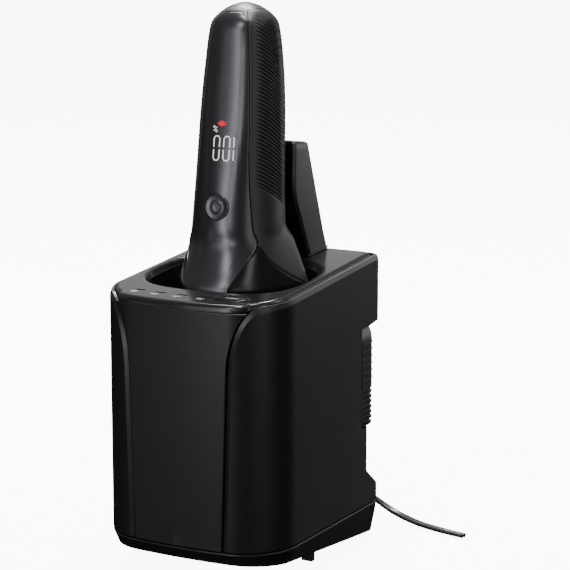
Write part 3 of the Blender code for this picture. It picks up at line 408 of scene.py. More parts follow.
def mirrored(right):
    """A right half's points, then the left half's, back to the start."""
    return right + [(-x, y) for x, y in reversed(right) if x]


def circle(centre, axis, radius, count):
    across = axis.orthogonal().normalized()
    up = axis.cross(across)
    return [centre + (across * math.cos(a) + up * math.sin(a)) * radius for a in turns(count)]


# Meshes


def mesh_object(name, points, faces, material, smooth=32.0):
    """An object from points and faces; edges that bend more than smooth degrees stay sharp."""
    mesh = bpy.data.meshes.new(name)
    mesh.from_pydata([Vector(p) * MM for p in points], [], faces)
    shape = bmesh.new()
    shape.from_mesh(mesh)
    bmesh.ops.recalc_face_normals(shape, faces=shape.faces)
    shape.to_mesh(mesh)
    shape.free()
    mesh.shade_smooth()
    mesh.set_sharp_from_angle(angle=math.radians(smooth))
    mesh.materials.append(material)
    made = bpy.data.objects.new(name, mesh)
    bpy.context.scene.collection.objects.link(made)
    return made


def loft(name, loops, material, ring=False, smooth=32.0):
    """A skin over loops of equally many points: capped at both ends, or closed into a ring."""
    count = len(loops[0])
    rings = len(loops)
    faces = []
    for i in range(rings if ring else rings - 1):
        low = i * count
        high = (i + 1) % rings * count
        for j in range(count):
            k = (j + 1) % count
            faces.append((low + j, low + k, high + k, high + j))
    if not ring:
        faces.append(tuple(range(count)))
        faces.append(tuple(range((rings - 1) * count, rings * count)))
    return mesh_object(name, [p for loop in loops for p in loop], faces, material, smooth)


def sheet(name, outer, inner, material, smooth=32.0):
    """A sheet with thickness between two grids of points."""
    rows = len(outer)
    columns = len(outer[0])
    points = [p for row in outer + inner for p in row]
    behind = rows * columns
    faces = []
    for i in range(rows - 1):
        for j in range(columns - 1):
            a = i * columns + j
            quad = (a, a + 1, a + columns + 1, a + columns)
            faces.append(quad)
            faces.append(tuple(behind + k for k in reversed(quad)))
    border = list(range(columns))
    border += [i * columns + columns - 1 for i in range(1, rows)]
    border += [(rows - 1) * columns + j for j in range(columns - 2, -1, -1)]
    border += [i * columns for i in range(rows - 2, 0, -1)]
    for a, b in zip(border, border[1:] + border[:1]):
        faces.append((b, a, behind + a, behind + b))
    return mesh_object(name, points, faces, material, smooth)


def turned(name, start, axis, stations, material, count=48, smooth=32.0):
    """A round piece on an axis, from (distance, radius) stations."""
    axis = Vector(axis).normalized()
    loops = [circle(Vector(start) + axis * d, axis, r, count) for d, r in stations]
    return loft(name, loops, material, smooth=smooth)


def block(name, low, high, material):
    ends = (low, high)
    corners = ((0, 0), (1, 0), (1, 1), (0, 1))
    return loft(name, [[(ends[i][X], ends[j][Y], end[Z]) for i, j in corners] for end in ends], material)


def round_edges(piece, width, segments=2, angle=32.0):
    bevel = piece.modifiers.new("rounded_edges", "BEVEL")
    bevel.width = width * MM
    bevel.segments = segments
    bevel.limit_method = "ANGLE"
    bevel.angle_limit = math.radians(angle)
    bevel.harden_normals = True


def carve(piece, cutters, smooth=32.0):
    """Cuts the cutters out of a piece, keeps the result as its mesh and removes the cutters."""
    for cutter in cutters:
        step = piece.modifiers.new("cut", "BOOLEAN")
        step.operation = "DIFFERENCE"
        step.solver = "EXACT"
        step.object = cutter
    bpy.context.view_layer.update()
    graph = bpy.context.evaluated_depsgraph_get()
    carved = bpy.data.meshes.new_from_object(piece.evaluated_get(graph))
    piece.modifiers.clear()
    piece.data = carved
    carved.shade_smooth()
    carved.set_sharp_from_angle(angle=math.radians(smooth))
    piece.modifiers.new("weighted_normals", "WEIGHTED_NORMAL").keep_sharp = True
    for cutter in cutters:
        bpy.data.objects.remove(cutter, do_unlink=True)


def settle(piece, body, slot, *nodes):
    """Puts a finished piece on its body, in place of the CAD nodes it stands for."""
    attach(piece, body)
    if nodes:
        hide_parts(*nodes)


# Dock outline


def deck_z(y):
    return DECK_Z + DECK_RISE * (y + HALF_DEPTH)


def underside_z(y):
    return mix(UNDERSIDE_FRONT_Z, UNDERSIDE_REAR_Z, (y + HALF_DEPTH) / (2 * HALF_DEPTH))


def plan_point(station, inset=0.0):
    """(x, y) on the right half of the dock's outline, station mm from the middle of the front."""
    if station <= FLAT:
        x = station
        y = inset - HALF_DEPTH
    elif station <= CORNER_END:
        angle = (station - FLAT) / FRONT_RADIUS
        radius = FRONT_RADIUS - inset
        x = FLAT + radius * math.sin(angle)
        y = CORNER_Y - radius * math.cos(angle)
    else:
        return HALF_WIDTH - inset, CORNER_Y + station - CORNER_END
    return x, y - FRONT_BULGE * (1 - (x / HALF_WIDTH) ** 2)


def station_of_x(x):
    if x <= FLAT:
        return x
    return FLAT + FRONT_RADIUS * math.asin((x - FLAT) / FRONT_RADIUS)


def station_of_y(y):
    return CORNER_END + y - CORNER_Y


def slot_x(z):
    """Half the spacing of the two slots beside the front panel at height z."""
    rise = max(z - SLOT_FLARE_Z, 0) / (DECK_Z - SLOT_FLARE_Z)
    flare = SLOT_FLARE * (1 - max(1 - rise * rise, 0) ** 0.6)
    return SLOT_FOOT_X + SLOT_WIDENING * (z - SEAM_Z) / (SLOT_FLARE_Z - SEAM_Z) + flare


def well_point(angle, half_x, half_y, height):
    """A point of the well's outline; height gives its z from its y."""
    c = math.cos(angle)
    s = math.sin(angle)
    reach = (abs(c / half_x) ** WELL_POWER + abs(s / half_y) ** WELL_POWER) ** (-1 / WELL_POWER)
    y = WELL_Y + reach * s
    return reach * c, y, height(y)


def well_loop(half_x, half_y, height, count=96):
    return [well_point(angle, half_x, half_y, height) for angle in turns(count, 0.5)]


def plan_loop(inset):
    """The whole outline, counter-clockwise from the front."""
    stations = spaced([2.0, FLAT], 4) + spaced([FLAT, CORNER_END], 1.8)[1:]
    radius = max(REAR_RADIUS - inset, 0.5)
    rear = corner_arc(HALF_WIDTH - inset - radius, HALF_DEPTH - inset - radius, radius, 7)
    return mirrored([plan_point(s, inset) for s in stations] + rear)


# Shaver outline


def bulge(angle, power):
    """How far a rounded square of half-width 1 reaches at an angle; power 2 is a circle."""
    return (abs(math.sin(angle)) ** power + abs(math.cos(angle)) ** power) ** (-1 / power)


def handle_point(way, z):
    """(x, y) on the handle. way runs 0 front middle, 1 seam, 2 side, 3 rear middle."""
    seam = math.radians(along(z, SEAM_ANGLE))
    if way <= 1:
        angle = seam * way
    elif way <= 2:
        angle = mix(seam, SIDE_ANGLE, way - 1)
    else:
        angle = mix(SIDE_ANGLE, math.pi, way - 2)
    power = along(z, HANDLE_POWER)
    scale = bulge(VIEWED_ANGLE, VIEWED_POWER) / bulge(VIEWED_ANGLE, power)
    radius = along(z, HANDLE_RADIUS) * scale * bulge(angle, power)
    return radius * math.sin(angle), along(z, CENTRE_Y) - radius * math.cos(angle)


def neck_point(way, z):
    """(x, y) on the flared neck: crowned tongue, rolled cheek, rounded rear."""
    tongue = (along(z, TONGUE_X), along(z, TONGUE_Y))
    shoulder = (along(z, SHOULDER_X), along(z, SHOULDER_Y))
    if way <= 1:
        return tongue[X] * way, tongue[Y] - along(z, TONGUE_CROWN) * (1 - way ** TONGUE_POWER)
    if way <= 2:
        t = way - 1
        bend = (mix(tongue[X], shoulder[X], CHEEK_OUT), mix(tongue[Y], shoulder[Y], CHEEK_BACK))
        x, y = [(1 - t) ** 2 * tongue[i] + 2 * t * (1 - t) * bend[i] + t * t * shoulder[i] for i in (X, Y)]
        return x, y
    angle = math.pi / 2 * (way - 2)
    depth = along(z, NECK_REAR_Y) - shoulder[Y]
    return (shoulder[X] * math.cos(angle) ** NECK_REAR_POWER,
            shoulder[Y] + depth * math.sin(angle) ** NECK_REAR_POWER)


def shaver_point(way, z, inset=0.0):
    """A point of the shaver's skin, moved inset mm towards the middle. A negative way is the left side."""
    share = clamp((NECK_TOP_Z - z) / (NECK_TOP_Z - NECK_FULL_Z))
    share = share * share * (3 - 2 * share)
    a = Vector(handle_point(abs(way), z))
    b = Vector(neck_point(min(abs(way), 3.0), z))
    centre = Vector((0, along(z, CENTRE_Y)))
    out = mix(a, b, share) - centre
    placed = centre + out * (1 - inset / max(out.length, 1e-6))
    return math.copysign(placed.x, way), placed.y, z


def cover_point(x, z, inset=0.0):
    """The point of the front cover at x and z."""
    way = halve(0.0, 1.0, lambda w: shaver_point(w, z, inset)[0] < abs(x), 24)
    return Vector(shaver_point(math.copysign(way, x), z, inset))


def grip_low_z(way):
    """Lower edge of the grips and the back cover: slanted from the seam's apex to the shoulder."""
    return mix(SEAM_APEX_Z, GRIP_TIP_Z, clamp(way - 1) ** TIP_SLANT)


def cover_top(way):
    """The front cover's upper edge, with rounded corners."""
    reach = clamp((way - COVER_CORNER_START) / (COVER_LAST - COVER_CORNER_START))
    return SKIN_TOP_Z - 0.6 - COVER_CORNER * (1 - math.sqrt(1 - reach ** 2.6))


def both_sides(right):
    """Ways round the shaver: the right side's from 0 to 3, then the left side's."""
    return right + [-w for w in reversed(right[1:-1])]


# Dock pieces


def make_base():
    """Wedge-shaped floor moulding with four screw holes."""
    profile = ((0, 0, 3.4), (0, 0.35, 2.7), (0.7, 0, 0.7), (0.9, 0, 0.3), (1, -GAP - 0.4, 0.1),
               (1, -GAP, 0.4), (1, -GAP, 2.4), (0, 2.6, 4.4))
    loops = []
    for share, lift, inset in profile:
        loops.append([(x, y, mix(underside_z(y), SEAM_Z, share) + lift) for x, y in plan_loop(inset)])
    base = loft("base_moulding", loops, SATIN)
    bore = [(0, SCREW_HOLE), (22, SCREW_HOLE)]
    sides = (-SCREW_PLACE, SCREW_PLACE)
    carve(base, [turned("hole", (x, y, -2), (0, 0, 1), bore, SATIN, 24) for x in sides for y in sides])
    settle(base, "dock", "satin_black", "base")


def slot_edge(height):
    """(station, height) on the slot's edge, and the direction from it into the side panel."""
    step = 0.03
    across = station_of_x(slot_x(height + step)) - station_of_x(slot_x(height - step))
    run = Vector((across, 2 * step)).normalized()
    return Vector((station_of_x(slot_x(height)), height)), Vector((run.y, -run.x))


def slot_edge_above(height, width):
    """The slot's edge whose point width mm into the panel is at the given height."""
    def is_below(place):
        edge, inward = slot_edge(place)
        return edge.y + inward.y * width < height

    return slot_edge(halve(SEAM_Z, DECK_Z - 0.25, is_below, 30))


def rear_edge_y(z):
    """How far back the side panels reach: foot, recess, notch for the grille, and overhang."""
    if z < FOOT_TOP_Z:
        return FOOT_REAR_Y
    if z < RECESS_LOW_Z:
        return mix(FOOT_REAR_Y, RECESS_Y, (z - FOOT_TOP_Z) / (RECESS_LOW_Z - FOOT_TOP_Z))
    if z < NOTCH_LOW_Z:
        return RECESS_Y
    if z < NOTCH_HIGH_Z + 0.2:
        return NOTCH_Y
    if z < OVERHANG_Z:
        return mix(RECESS_Y, HALF_DEPTH, (z - NOTCH_HIGH_Z) / (OVERHANG_Z - NOTCH_HIGH_Z))
    return HALF_DEPTH


def panel_row(height, inset, side, start, start_z, top):
    """One row of a side panel's grid, from the slot to the rear, at the given height at the rear."""
    share = max(height - OVERHANG_Z, 0) / (top - OVERHANG_Z)
    end = rear_edge_y(height)
    radius = NOTCH_RADIUS if end == NOTCH_Y else REAR_RADIUS
    stations = steps(start, CORNER_END, 16) + steps(CORNER_END, station_of_y(end - radius), 3)[1:]
    places = [plan_point(station, inset) for station in stations]
    if radius > inset:
        places += corner_arc(HALF_WIDTH - radius, end - radius, radius - inset, 6, 1)
    else:
        places += [(HALF_WIDTH - inset, y) for y in steps(end - radius, end, 6)[1:]]
    row = []
    for index, (x, y) in enumerate(places):
        z = height + (deck_z(y) - deck_z(HALF_DEPTH)) * share
        ease = clamp(1 - index / 16)
        row.append((side * x, y, mix(z, start_z, ease * ease)))
    return row


def make_side_panel(side, name):
    """Side panel from the slot to the rear, with a set-back band along its slot and its top."""
    rim = deck_z(HALF_DEPTH) - 0.2
    top = rim - BAND
    stops = [SEAM_Z + GAP + 0.4, FOOT_TOP_Z, RECESS_LOW_Z, 54.0, NOTCH_LOW_Z, 101.1, 101.3, OVERHANG_Z]
    heights = [SEAM_Z + GAP] + spaced(stops, 8)
    heights += [106, 110, 113, 116, 118.5, 121, 123, 125, 126.5, 128, 129.2, 130.2]
    heights = [h for h in heights if h < top - 0.3] + [top]
    outer = []
    inner = []
    for height in heights:
        share = max(height - OVERHANG_Z, 0) / (top - OVERHANG_Z)
        start_z = height + (DECK_Z - deck_z(HALF_DEPTH)) * share
        edge, inward = slot_edge_above(start_z, BAND)
        start = edge + inward * BAND
        foot_inset = 0.4 if height == heights[0] else 0.0
        for grid, inset, lip in ((outer, foot_inset, BAND_DEPTH), (inner, WALL, WALL)):
            row = panel_row(height, inset, side, start.x, start.y, top)
            x, y = plan_point(edge.x, lip)
            grid.append([(side * x, y, edge.y)] + row)
    first = slot_edge_above(DECK_Z - 0.2 - BAND, BAND)[0].x + 1.0
    for grid, inset in ((outer, BAND_DEPTH), (inner, WALL)):
        row = [(x, y, deck_z(y) - 0.2) for x, y, _ in panel_row(top, inset, side, first, 0, top)]
        grid.append([grid[-1][0]] + row)
    panel = sheet(f"side_panel_{name}_moulding", outer, inner, SATIN, 20)
    round_edges(panel, 0.2, 2, 24)
    settle(panel, "dock", "satin_black", f"side_panel_{name}")


def make_rear_shell():
    """Rear wall with its overhang, recess and foot, cut for the fan and the socket."""
    top = deck_z(HALF_DEPTH) - 0.2
    foot = SEAM_Z + GAP
    outer = [(FOOT_REAR_Y, foot), (FOOT_REAR_Y, 24.4), (FOOT_REAR_Y - 0.6, 25.8), (RECESS_Y + 0.6, 32.4),
             (RECESS_Y, 33.8), (RECESS_Y, 100.9), (RECESS_Y + 0.8, 101.6), (HALF_DEPTH - 0.9, 102.8),
             (HALF_DEPTH, 103.8), (HALF_DEPTH, top - 0.6), (HALF_DEPTH - 0.6, top)]
    inner = [(HALF_DEPTH - 2, top), (HALF_DEPTH - 2, 105.0), (RECESS_Y - 2, 103.5), (RECESS_Y - 2, 32.2),
             (FOOT_REAR_Y - 2, 24.2), (FOOT_REAR_Y - 2, foot)]
    half = HALF_WIDTH - REAR_RADIUS - GAP
    loops = [[(x, y, z) for y, z in outer + inner] for x in steps(-half, half, 12)]
    shell = loft("rear_shell_moulding", loops, SATIN, smooth=38)
    fan = turned("hole", (0, 38, 75), (0, 1, 0), [(0, 18), (8, 18)], SATIN, 64)
    socket = block("hole", (SOCKET_X - 5.4, 46, SOCKET_Z - 3), (SOCKET_X + 5.4, 54, SOCKET_Z + 3), SATIN)
    carve(shell, [fan, socket])
    settle(shell, "dock", "satin_black", "rear_shell")


def grille_path(inset):
    side_x = HALF_WIDTH - 0.1 - inset
    rear_y = GRILLE_Y - inset
    radius = 9.0 - inset
    corner = corner_arc(side_x - radius, rear_y - radius, radius, 12)
    right = [(side_x, NOTCH_Y + GAP), (side_x, NOTCH_Y + 3)] + corner + [(30.0, rear_y), (15.0, rear_y)]
    return mirrored(right)


def grille_profile():
    """(height, depth) down the grille's face: thin ribs above, deep louvres below."""
    lip = ((0, 2.3), (0.3, 1.8), (1.2, 1.3), (2.6, 0.75), (4.4, 0.3), (6.2, 0.1))
    points = [(GRILLE_TOP_Z - drop, depth) for drop, depth in lip]
    for i in range(6):
        z = GRILLE_TOP_Z - 7.6 - i * 3.35
        points += [(z + 0.42, 0.1), (z + 0.3, -0.12), (z - 0.1, -0.16), (z - 0.34, 0.1)]
    for i in range(LOUVRE_COUNT):
        z = LOUVRE_TOP_Z - i * LOUVRE_PITCH
        points += [(z, 0.05), (z - 0.5, 0.0), (z - 0.95, 0.35), (z - 1.15, 1.35)]
        points.append((z - LOUVRE_PITCH + 0.25, 1.3))
    return points + [(GRILLE_FOOT_Z + 0.9, 0.1), (GRILLE_FOOT_Z, 0.6)]


def make_vent_grille():
    """Grille that wraps the notch, with an air slot behind each louvre and between the thin ribs."""
    outer = [[(x, y, z) for x, y in grille_path(depth)] for z, depth in grille_profile()]
    inner = [[(x, y, z) for x, y in grille_path(2.0)] for z, _ in grille_profile()]
    grille = sheet("vent_grille_moulding", outer, inner, SATIN, 28)
    openings = []
    for i in range(1, LOUVRE_COUNT + 1):
        openings.append((LOUVRE_TOP_Z - i * LOUVRE_PITCH + 0.42, LOUVRE_PITCH - 1.75))
    openings += [(GRILLE_TOP_Z - 11.4 - i * 6.7, 2.0) for i in range(3)]
    slots = []
    for z, height in openings:
        for middle in (-20.0, 0.0, 20.0):
            slots.append(block("slot", (middle - 9, 45, z), (middle + 9, 53, z + height), SATIN))
    carve(grille, slots, 28)
    settle(grille, "dock", "satin_black", "vent_grille")


def deck_outline(inset=0.0):
    """The deck's edge, counter-clockwise from the middle of the front: flush in front, stepped in beside."""
    stations = spaced([0.0, DECK_STEP], 2.6) + [32.0, 33.0, 34.0] + spaced([35.0, CORNER_END], 1.8)
    stations += spaced([CORNER_END, station_of_y(44.0)], 9)[1:]
    right = []
    for station in stations:
        share = clamp((station - DECK_STEP) / 2.8)
        right.append(plan_point(station, mix(GAP, 2.6, share) + inset))
    rear_y = DECK_REAR_Y - inset
    right += corner_arc(HALF_WIDTH - 2.6 - inset - DECK_CORNER, rear_y - DECK_CORNER, DECK_CORNER, 5, 1)
    return mirrored(right + [(20.0, rear_y), (0.0, rear_y)])


def on_deck(centre, x, y, lift):
    """A point x and y along the deck from a centre, and lift above it."""
    return Vector(centre) + Vector((x, 0, 0)) + DECK_ACROSS * y + DECK_NORMAL * lift


def oval_loops(centre, half_x, half_y, reaches, count=40):
    """Oval loops on the deck; each reach is (distance along its normal, inset)."""
    loops = []
    for reach, inset in reaches:
        oval = rounded_oval(half_x - inset, half_y - inset, OVAL_POWER, count)
        loops.append([on_deck(centre, x, y, reach) for x, y in oval])
    return loops


def select_place():
    return Vector((21.6, -44.6, deck_z(-44.6)))


def lamp_places():
    return [(x, plan_point(abs(x))[Y] + 10.6) for x in (-24.2, -13.2, -2.0, 9.8)]


def make_deck():
    """Gloss top plate with a rounded edge, the well's opening, and holes for the lamps and the key."""
    edge = ((0, -DECK_BELOW), (0, -0.9), (0.1, -0.35), (0.32, 0.15), (0.65, 0.56), (1.1, 0.88), (1.6, 1.08),
            (2.2, DECK_PROUD))
    loops = [[(x, y, deck_z(y) + rise) for x, y in deck_outline(inset)] for inset, rise in edge]
    rim = ((1.8, DECK_PROUD), (1.1, 1.06), (0.55, 0.72), (0.2, 0.2), (0, -0.5), (-0.6, -DECK_BELOW))
    angles = [math.atan2(y - WELL_Y, x) for x, y in deck_outline()]
    for grow, rise in rim:
        reach = (WELL_HALF_X + grow, WELL_HALF_Y + grow)
        loops.append([well_point(angle, *reach, lambda y: deck_z(y) + rise) for angle in angles])
    deck = loft("deck_bezel", loops, GLOSS, ring=True, smooth=34)
    cutters = [loft("hole", oval_loops(select_place(), 8.6, 4.1, ((-4, 0), (5, 0))), GLOSS)]
    for x, y in lamp_places():
        cutters.append(loft("hole", oval_loops((x, y, deck_z(y)), 2.75, 0.7, ((-4, 0), (5, 0)), 24), GLOSS))
    carve(deck, cutters, 34)
    settle(deck, "dock", "gloss_black", "deck")


def make_lamps():
    """Four lamp lenses, and a generic sign of two short printed strokes in front of each."""
    for number, (x, y) in enumerate(lamp_places(), 1):
        reaches = ((-3.5, 0), (0.55, 0), (0.75, 0.12), (0.8, 0.3))
        lens = loft(f"lamp_lens_{number}", oval_loops((x, y, deck_z(y)), 2.45, 0.5, reaches, 24), LENS)
        settle(lens, "dock", "clear_plastic", f"indicator_lens_{number}")
        for line, (half, offset) in enumerate(((1.9, -2.5), (1.3, -3.6)), 1):
            sign_y = y + offset
            base = Vector((x - 1.6, sign_y, deck_z(sign_y))) + DECK_NORMAL * (DECK_PROUD + 0.012)
            bar = [(-half, -0.3), (half, -0.3), (half, 0.3), (-half, 0.3)]
            loops = [[on_deck(base, dx, dy, lift) for dx, dy in bar] for lift in (0.0, 0.05)]
            settle(loft(f"lamp_sign_{number}_{line}", loops, PRINT), "dock", "pale_plastic")


def make_select_button():
    reaches = ((-1.2, 0.3), (-1.0, 0), (1.3, 0), (1.75, 0.15), (2.0, 0.5), (1.8, 1.2), (1.55, 2.4))
    button = loft("select_key", oval_loops(select_place(), 8.25, 3.75, reaches), GLOSS, smooth=40)
    settle(button, "select_button", "gloss_black", "select_button")
    sign = oval_loops(select_place(), 3.4, 0.42, ((1.5, 0), (1.6, 0)), 24)
    settle(loft("select_sign", sign, PRINT), "select_button", "pale_plastic")


def make_well_cup():
    """The tub under the deck's opening, with a rounded floor."""
    def top(y):
        return deck_z(y) - DECK_BELOW - GAP

    loops = [well_loop(WELL_HALF_X + 1, WELL_HALF_Y + 1, top)]
    for half_x, half_y, rise in ((37.3, 28.4, 2.0), (34.5, 25.0, -1.6), (5.0, 5.0, -1.6), (5.0, 5.0, 0.0),
                                 (31.0, 21.5, 0.0), (33.6, 24.2, 0.5), (35.1, 26.0, 2.0), (35.8, 27.0, 4.5)):
        loops.append(well_loop(half_x, half_y, lambda _, z=CUP_FLOOR_Z + rise: z))
    loops.append(well_loop(WELL_HALF_X - 0.6, WELL_HALF_Y - 0.6, top))
    settle(loft("well_cup_moulding", loops, BEZEL, ring=True), "dock", "satin_black", "well_cup")


def post_section(z, inset=0.0, top_drop=0.0, lift=None, flange=0.0):
    """One loop of the post: rounded rear corners, bevelled front edges, hollow front. With a lift it lies on
    the deck, that far above it, instead of at z."""
    grow = flange - inset
    half = POST_HALF_X + grow
    rear = mix(48.2, 29.0, (z - 133.6) / (186.5 - 133.6)) + grow
    edge = along(z, POST_EDGE_Y) - grow
    middle = along(z, POST_MIDDLE_Y) - grow
    corner = corner_arc(half - POST_CORNER, rear - POST_CORNER, POST_CORNER, 6)
    points = [(-x, y) for x, y in corner] + corner[::-1]
    points += [(half, edge + 1.2), (half - 0.1, edge + 1.0), (half - 1.25, edge)]
    for x in steps(half - 1.4, 1.4 - half, 16)[1:-1]:
        points.append((x, mix(middle, edge + 0.15, (x / half) ** 2)))
    points += [(1.25 - half, edge), (0.1 - half, edge + 1.0), (-half, edge + 1.2)]
    if lift is not None:
        return [(x, y, deck_z(y) + DECK_PROUD + GAP + lift) for x, y in points]
    return [(x, y, z - top_drop * (y - edge) / (rear - edge)) for x, y in points]


def make_post():
    loops = [post_section(133.0, lift=0.0, flange=0.35), post_section(133.2, lift=0.6, flange=0.35)]
    loops += [post_section(133.5, lift=0.9)] + [post_section(z) for z in spaced([143, 163, 185.2], 2.5)]
    for drop, inset, top_drop in ((0.9, 0.15, 0.95), (0.3, 0.55, 1.0), (0.0, 1.2, 1.1)):
        loops.append(post_section(POST_TOP_Z - drop, inset, top_drop))
    settle(loft("charging_post_moulding", loops, POST, smooth=26), "dock", "satin_black", "charging_post")


def make_plug():
    """Appliance plug with a rounded body and a ribbed strain relief."""
    collar = FOOT_REAR_Y + GAP
    sections = [(43.2, 3.8, 1.7), (43.5, 4.0, 1.9), (collar, 4.0, 1.9), (collar, 5.2, 3.0),
                (collar + 0.4, 5.6, 3.4), (58.6, 5.4, 3.2), (59.4, 4.9, 2.8)]
    for i in range(4):
        y = 59.7 + i * 1.1
        shrink = 1 - i * 0.09
        for ahead, half_x, half_z in ((0, 3.6, 2.5), (0.5, 3.9, 2.7), (0.6, 3.0, 2.1), (1.05, 3.0, 2.1)):
            sections.append((y + ahead, half_x * shrink, half_z * shrink))
    loops = []
    for y, half_x, half_z in sections:
        oval = rounded_oval(half_x, half_z, PLUG_POWER, 32)
        loops.append([(SOCKET_X + x, y, SOCKET_Z + z) for x, z in oval])
    settle(loft("plug_body", loops, SATIN), "plug", "satin_black", "power_plug")


def cord_path(share):
    """Middle line of the cord: out of the plug, down to the table and round to the right."""
    points = [(18, 65.0, 20.5), (20.0, 71.5, 17.0), (29.5, 76.5, 8.6), (42, 75.6, 2.9), (58, 67.2, 2.1),
              (72, 62.3, 2.1), (85, 59.4, 2.1)]
    place = share * (len(points) - 1)
    return Vector([along(place, [(i, p[axis]) for i, p in enumerate(points)]) for axis in (X, Y, Z)])


def make_cord():
    """Flat twin flex: two round conductors joined by a narrow web."""
    spread = 0.98
    radius = 1.06
    loops = []
    for share in steps(0, 1, 110):
        ahead = cord_path(min(share + 0.01, 1)) - cord_path(max(share - 0.01, 0))
        ahead.normalize()
        across = ahead.cross(Vector((0, 0, 1))).normalized()
        up = across.cross(ahead)
        loop = []
        for side, first in ((1, -148), (-1, 32)):
            for turn in steps(first, first + 296, 10):
                angle = math.radians(turn)
                reach = side * spread + radius * math.cos(angle)
                loop.append(cord_path(share) + across * reach + up * radius * math.sin(angle))
        loops.append(loop)
    settle(loft("cord_flex", loops, CORD_SKIN, smooth=50), "plug", "satin_black", "power_cord")


def make_front_panel():
    """The drawer's front, between the two slots."""
    heights = spaced([SEAM_Z + GAP, SLOT_FLARE_Z], 8) + spaced([SLOT_FLARE_Z, 112.0], 2.5)[1:]
    heights += spaced([112.0, DECK_Z - DECK_BELOW - 0.55], 1.0)[1:]

    def place(across, z, inset):
        x, y = plan_point(station_of_x(abs(across) * (slot_x(z) - PANEL_SLOT)), inset)
        return math.copysign(x, across), y, z

    grids = []
    for inset in (0.0, WALL):
        grids.append([[place(across, z, inset) for across in steps(-1, 1, 40)] for z in heights])
    panel = sheet("front_panel_moulding", *grids, FRONT)
    round_edges(panel, 0.45, 3, 40)
    settle(panel, "drawer", "graphite", "front_panel")


# Shaver pieces


def skin(name, ways, shares, material, low, shift=None, smooth=40.0, top=lambda way: SKIN_TOP_Z):
    """A sheet of the shaver's skin with softly rounded borders, from low(way) to top(way). shift gives an
    inset at a way and height."""
    outer = []
    inner = []
    for i, share in enumerate(shares):
        heights = [mix(low(abs(way)), top(abs(way)), share) for way in ways]
        row = []
        for j, (way, z) in enumerate(zip(ways, heights)):
            border = min(i, len(shares) - 1 - i, j, len(ways) - 1 - j)
            inset = (0.3, 0.06)[border] if border < 2 else 0.0
            if shift and border:
                inset += shift(abs(way), z)
            row.append(shaver_point(way, z, inset))
        outer.append(row)
        inner.append([shaver_point(way, z, SKIN) for way, z in zip(ways, heights)])
    return sheet(name, outer, inner, material, smooth)


def make_front_cover():
    ways = edged(steps(-COVER_LAST, COVER_LAST, 22), 0.016, 0.04)
    ways = sorted(ways + [sign * w for sign in (-1, 1) for w in (0.6, 0.74, 0.84, 0.9, 0.935)])
    shares = edged(steps(0, 1, 72), 0.002, 0.005)
    cover = skin("front_cover_shell", ways, shares, GRAPHITE, lambda way: NECK_LOW_Z + 0.7, top=cover_top)
    place = Vector(shaver_point(0.0, BUTTON_Z))
    hole = turned("hole", place - BUTTON_AXIS * 4, BUTTON_AXIS, [(0, 6.0), (8, 6.0)], GRAPHITE, 64)
    carve(cover, [hole], 40)
    settle(cover, "shaver", "graphite", "front_cover")


def rib_inset(way, z):
    """Ribs of the grips, which slope down to the rear between a smooth front strip and a smooth lower end."""
    behind = way - RIB_FIRST
    start = clamp(behind / 0.1)
    rear = clamp((GRIP_LAST - 0.05 - way) / 0.05)
    height = z + 9.5 * behind + 1.6 * behind ** 2 - 1.2
    low = clamp((height - RIB_LOW_Z - 7.5) / 1.2)
    high = clamp((244.6 - z) / 1.6)
    wave = 0.5 - 0.5 * math.cos(2 * math.pi * ((height / RIB_PITCH) % 1.0))
    return RIB_DEPTH * wave ** 1.4 * start * rear * low * high


def make_grips():
    ways = edged(steps(GRIP_FIRST, GRIP_LAST, 30), 0.008, 0.02)
    shares = edged(steps(0, FINE_SHARE, 18) + steps(FINE_SHARE, 1, 300)[1:], 0.002, 0.005)
    for side, name in ((-1, "left"), (1, "right")):
        placed = [side * way for way in ways]
        grip = skin(f"grip_{name}_rubber", placed, shares, RUBBER, grip_low_z, rib_inset, 60)
        settle(grip, "shaver", "grip_rubber", f"grip_{name}")


def make_back_cover():
    """Back cover with the opening that the trimmer slides in."""
    ways = edged(steps(GRIP_LAST + 0.02, 3.0, 12), 0.008, 0.02)[:-3] + [3.0]
    ways += [-w for w in reversed(ways[:-1])]
    shares = edged(steps(0, 1, 60), 0.002, 0.005)
    cover = skin("back_cover_shell", ways, shares, SATIN, grip_low_z)
    carve(cover, [block("hole", (-7.4, 8, 118), (7.4, 26, 157), SATIN)], 40)
    settle(cover, "shaver", "satin_black", "back_cover")


def make_end_cap():
    """Cap over the handle's end, whose lower edge follows the front cover's rounded top."""
    front = [0, 0.2, 0.4, 0.5, 0.6, 0.68, 0.74, 0.8, 0.84, 0.88, 0.91, 0.935, 0.955, 0.97, 0.98, COVER_LAST]
    ways = both_sides(front + steps(1, 2, 12) + steps(2, 3, 12)[1:])

    def low(way):
        top = cover_top(way) if way <= COVER_LAST else SKIN_TOP_Z
        return top + 0.16

    loops = [[shaver_point(w, 244.0, 4.6) for w in ways]]
    for inset in (1.6, 0.25):
        loops.append([shaver_point(w, low(abs(w)), inset) for w in ways])
    for share in [0.04] + steps(0.1, 1, 12):
        loops.append([shaver_point(w, mix(low(abs(w)), HANDLE_TOP_Z - 0.7, share)) for w in ways])
    loops += [[shaver_point(w, z) for w in ways] for z in (HANDLE_TOP_Z - 0.3, HANDLE_TOP_Z)]
    settle(loft("end_cap_shell", loops, RIM, smooth=60), "shaver", "graphite", "end_cap")


def ribbon(name, line, normal, width, thickness, material):
    """A flat printed stroke along a line of points, standing thickness above the surface."""
    loops = []
    for i, point in enumerate(line):
        ahead = line[min(i + 1, len(line) - 1)] - line[max(i - 1, 0)]
        side = ahead.cross(normal).normalized() * width / 2
        rise = normal * thickness
        loops.append([point - side, point + side, point + side + rise, point - side + rise])
    return loft(name, loops, material, smooth=60)


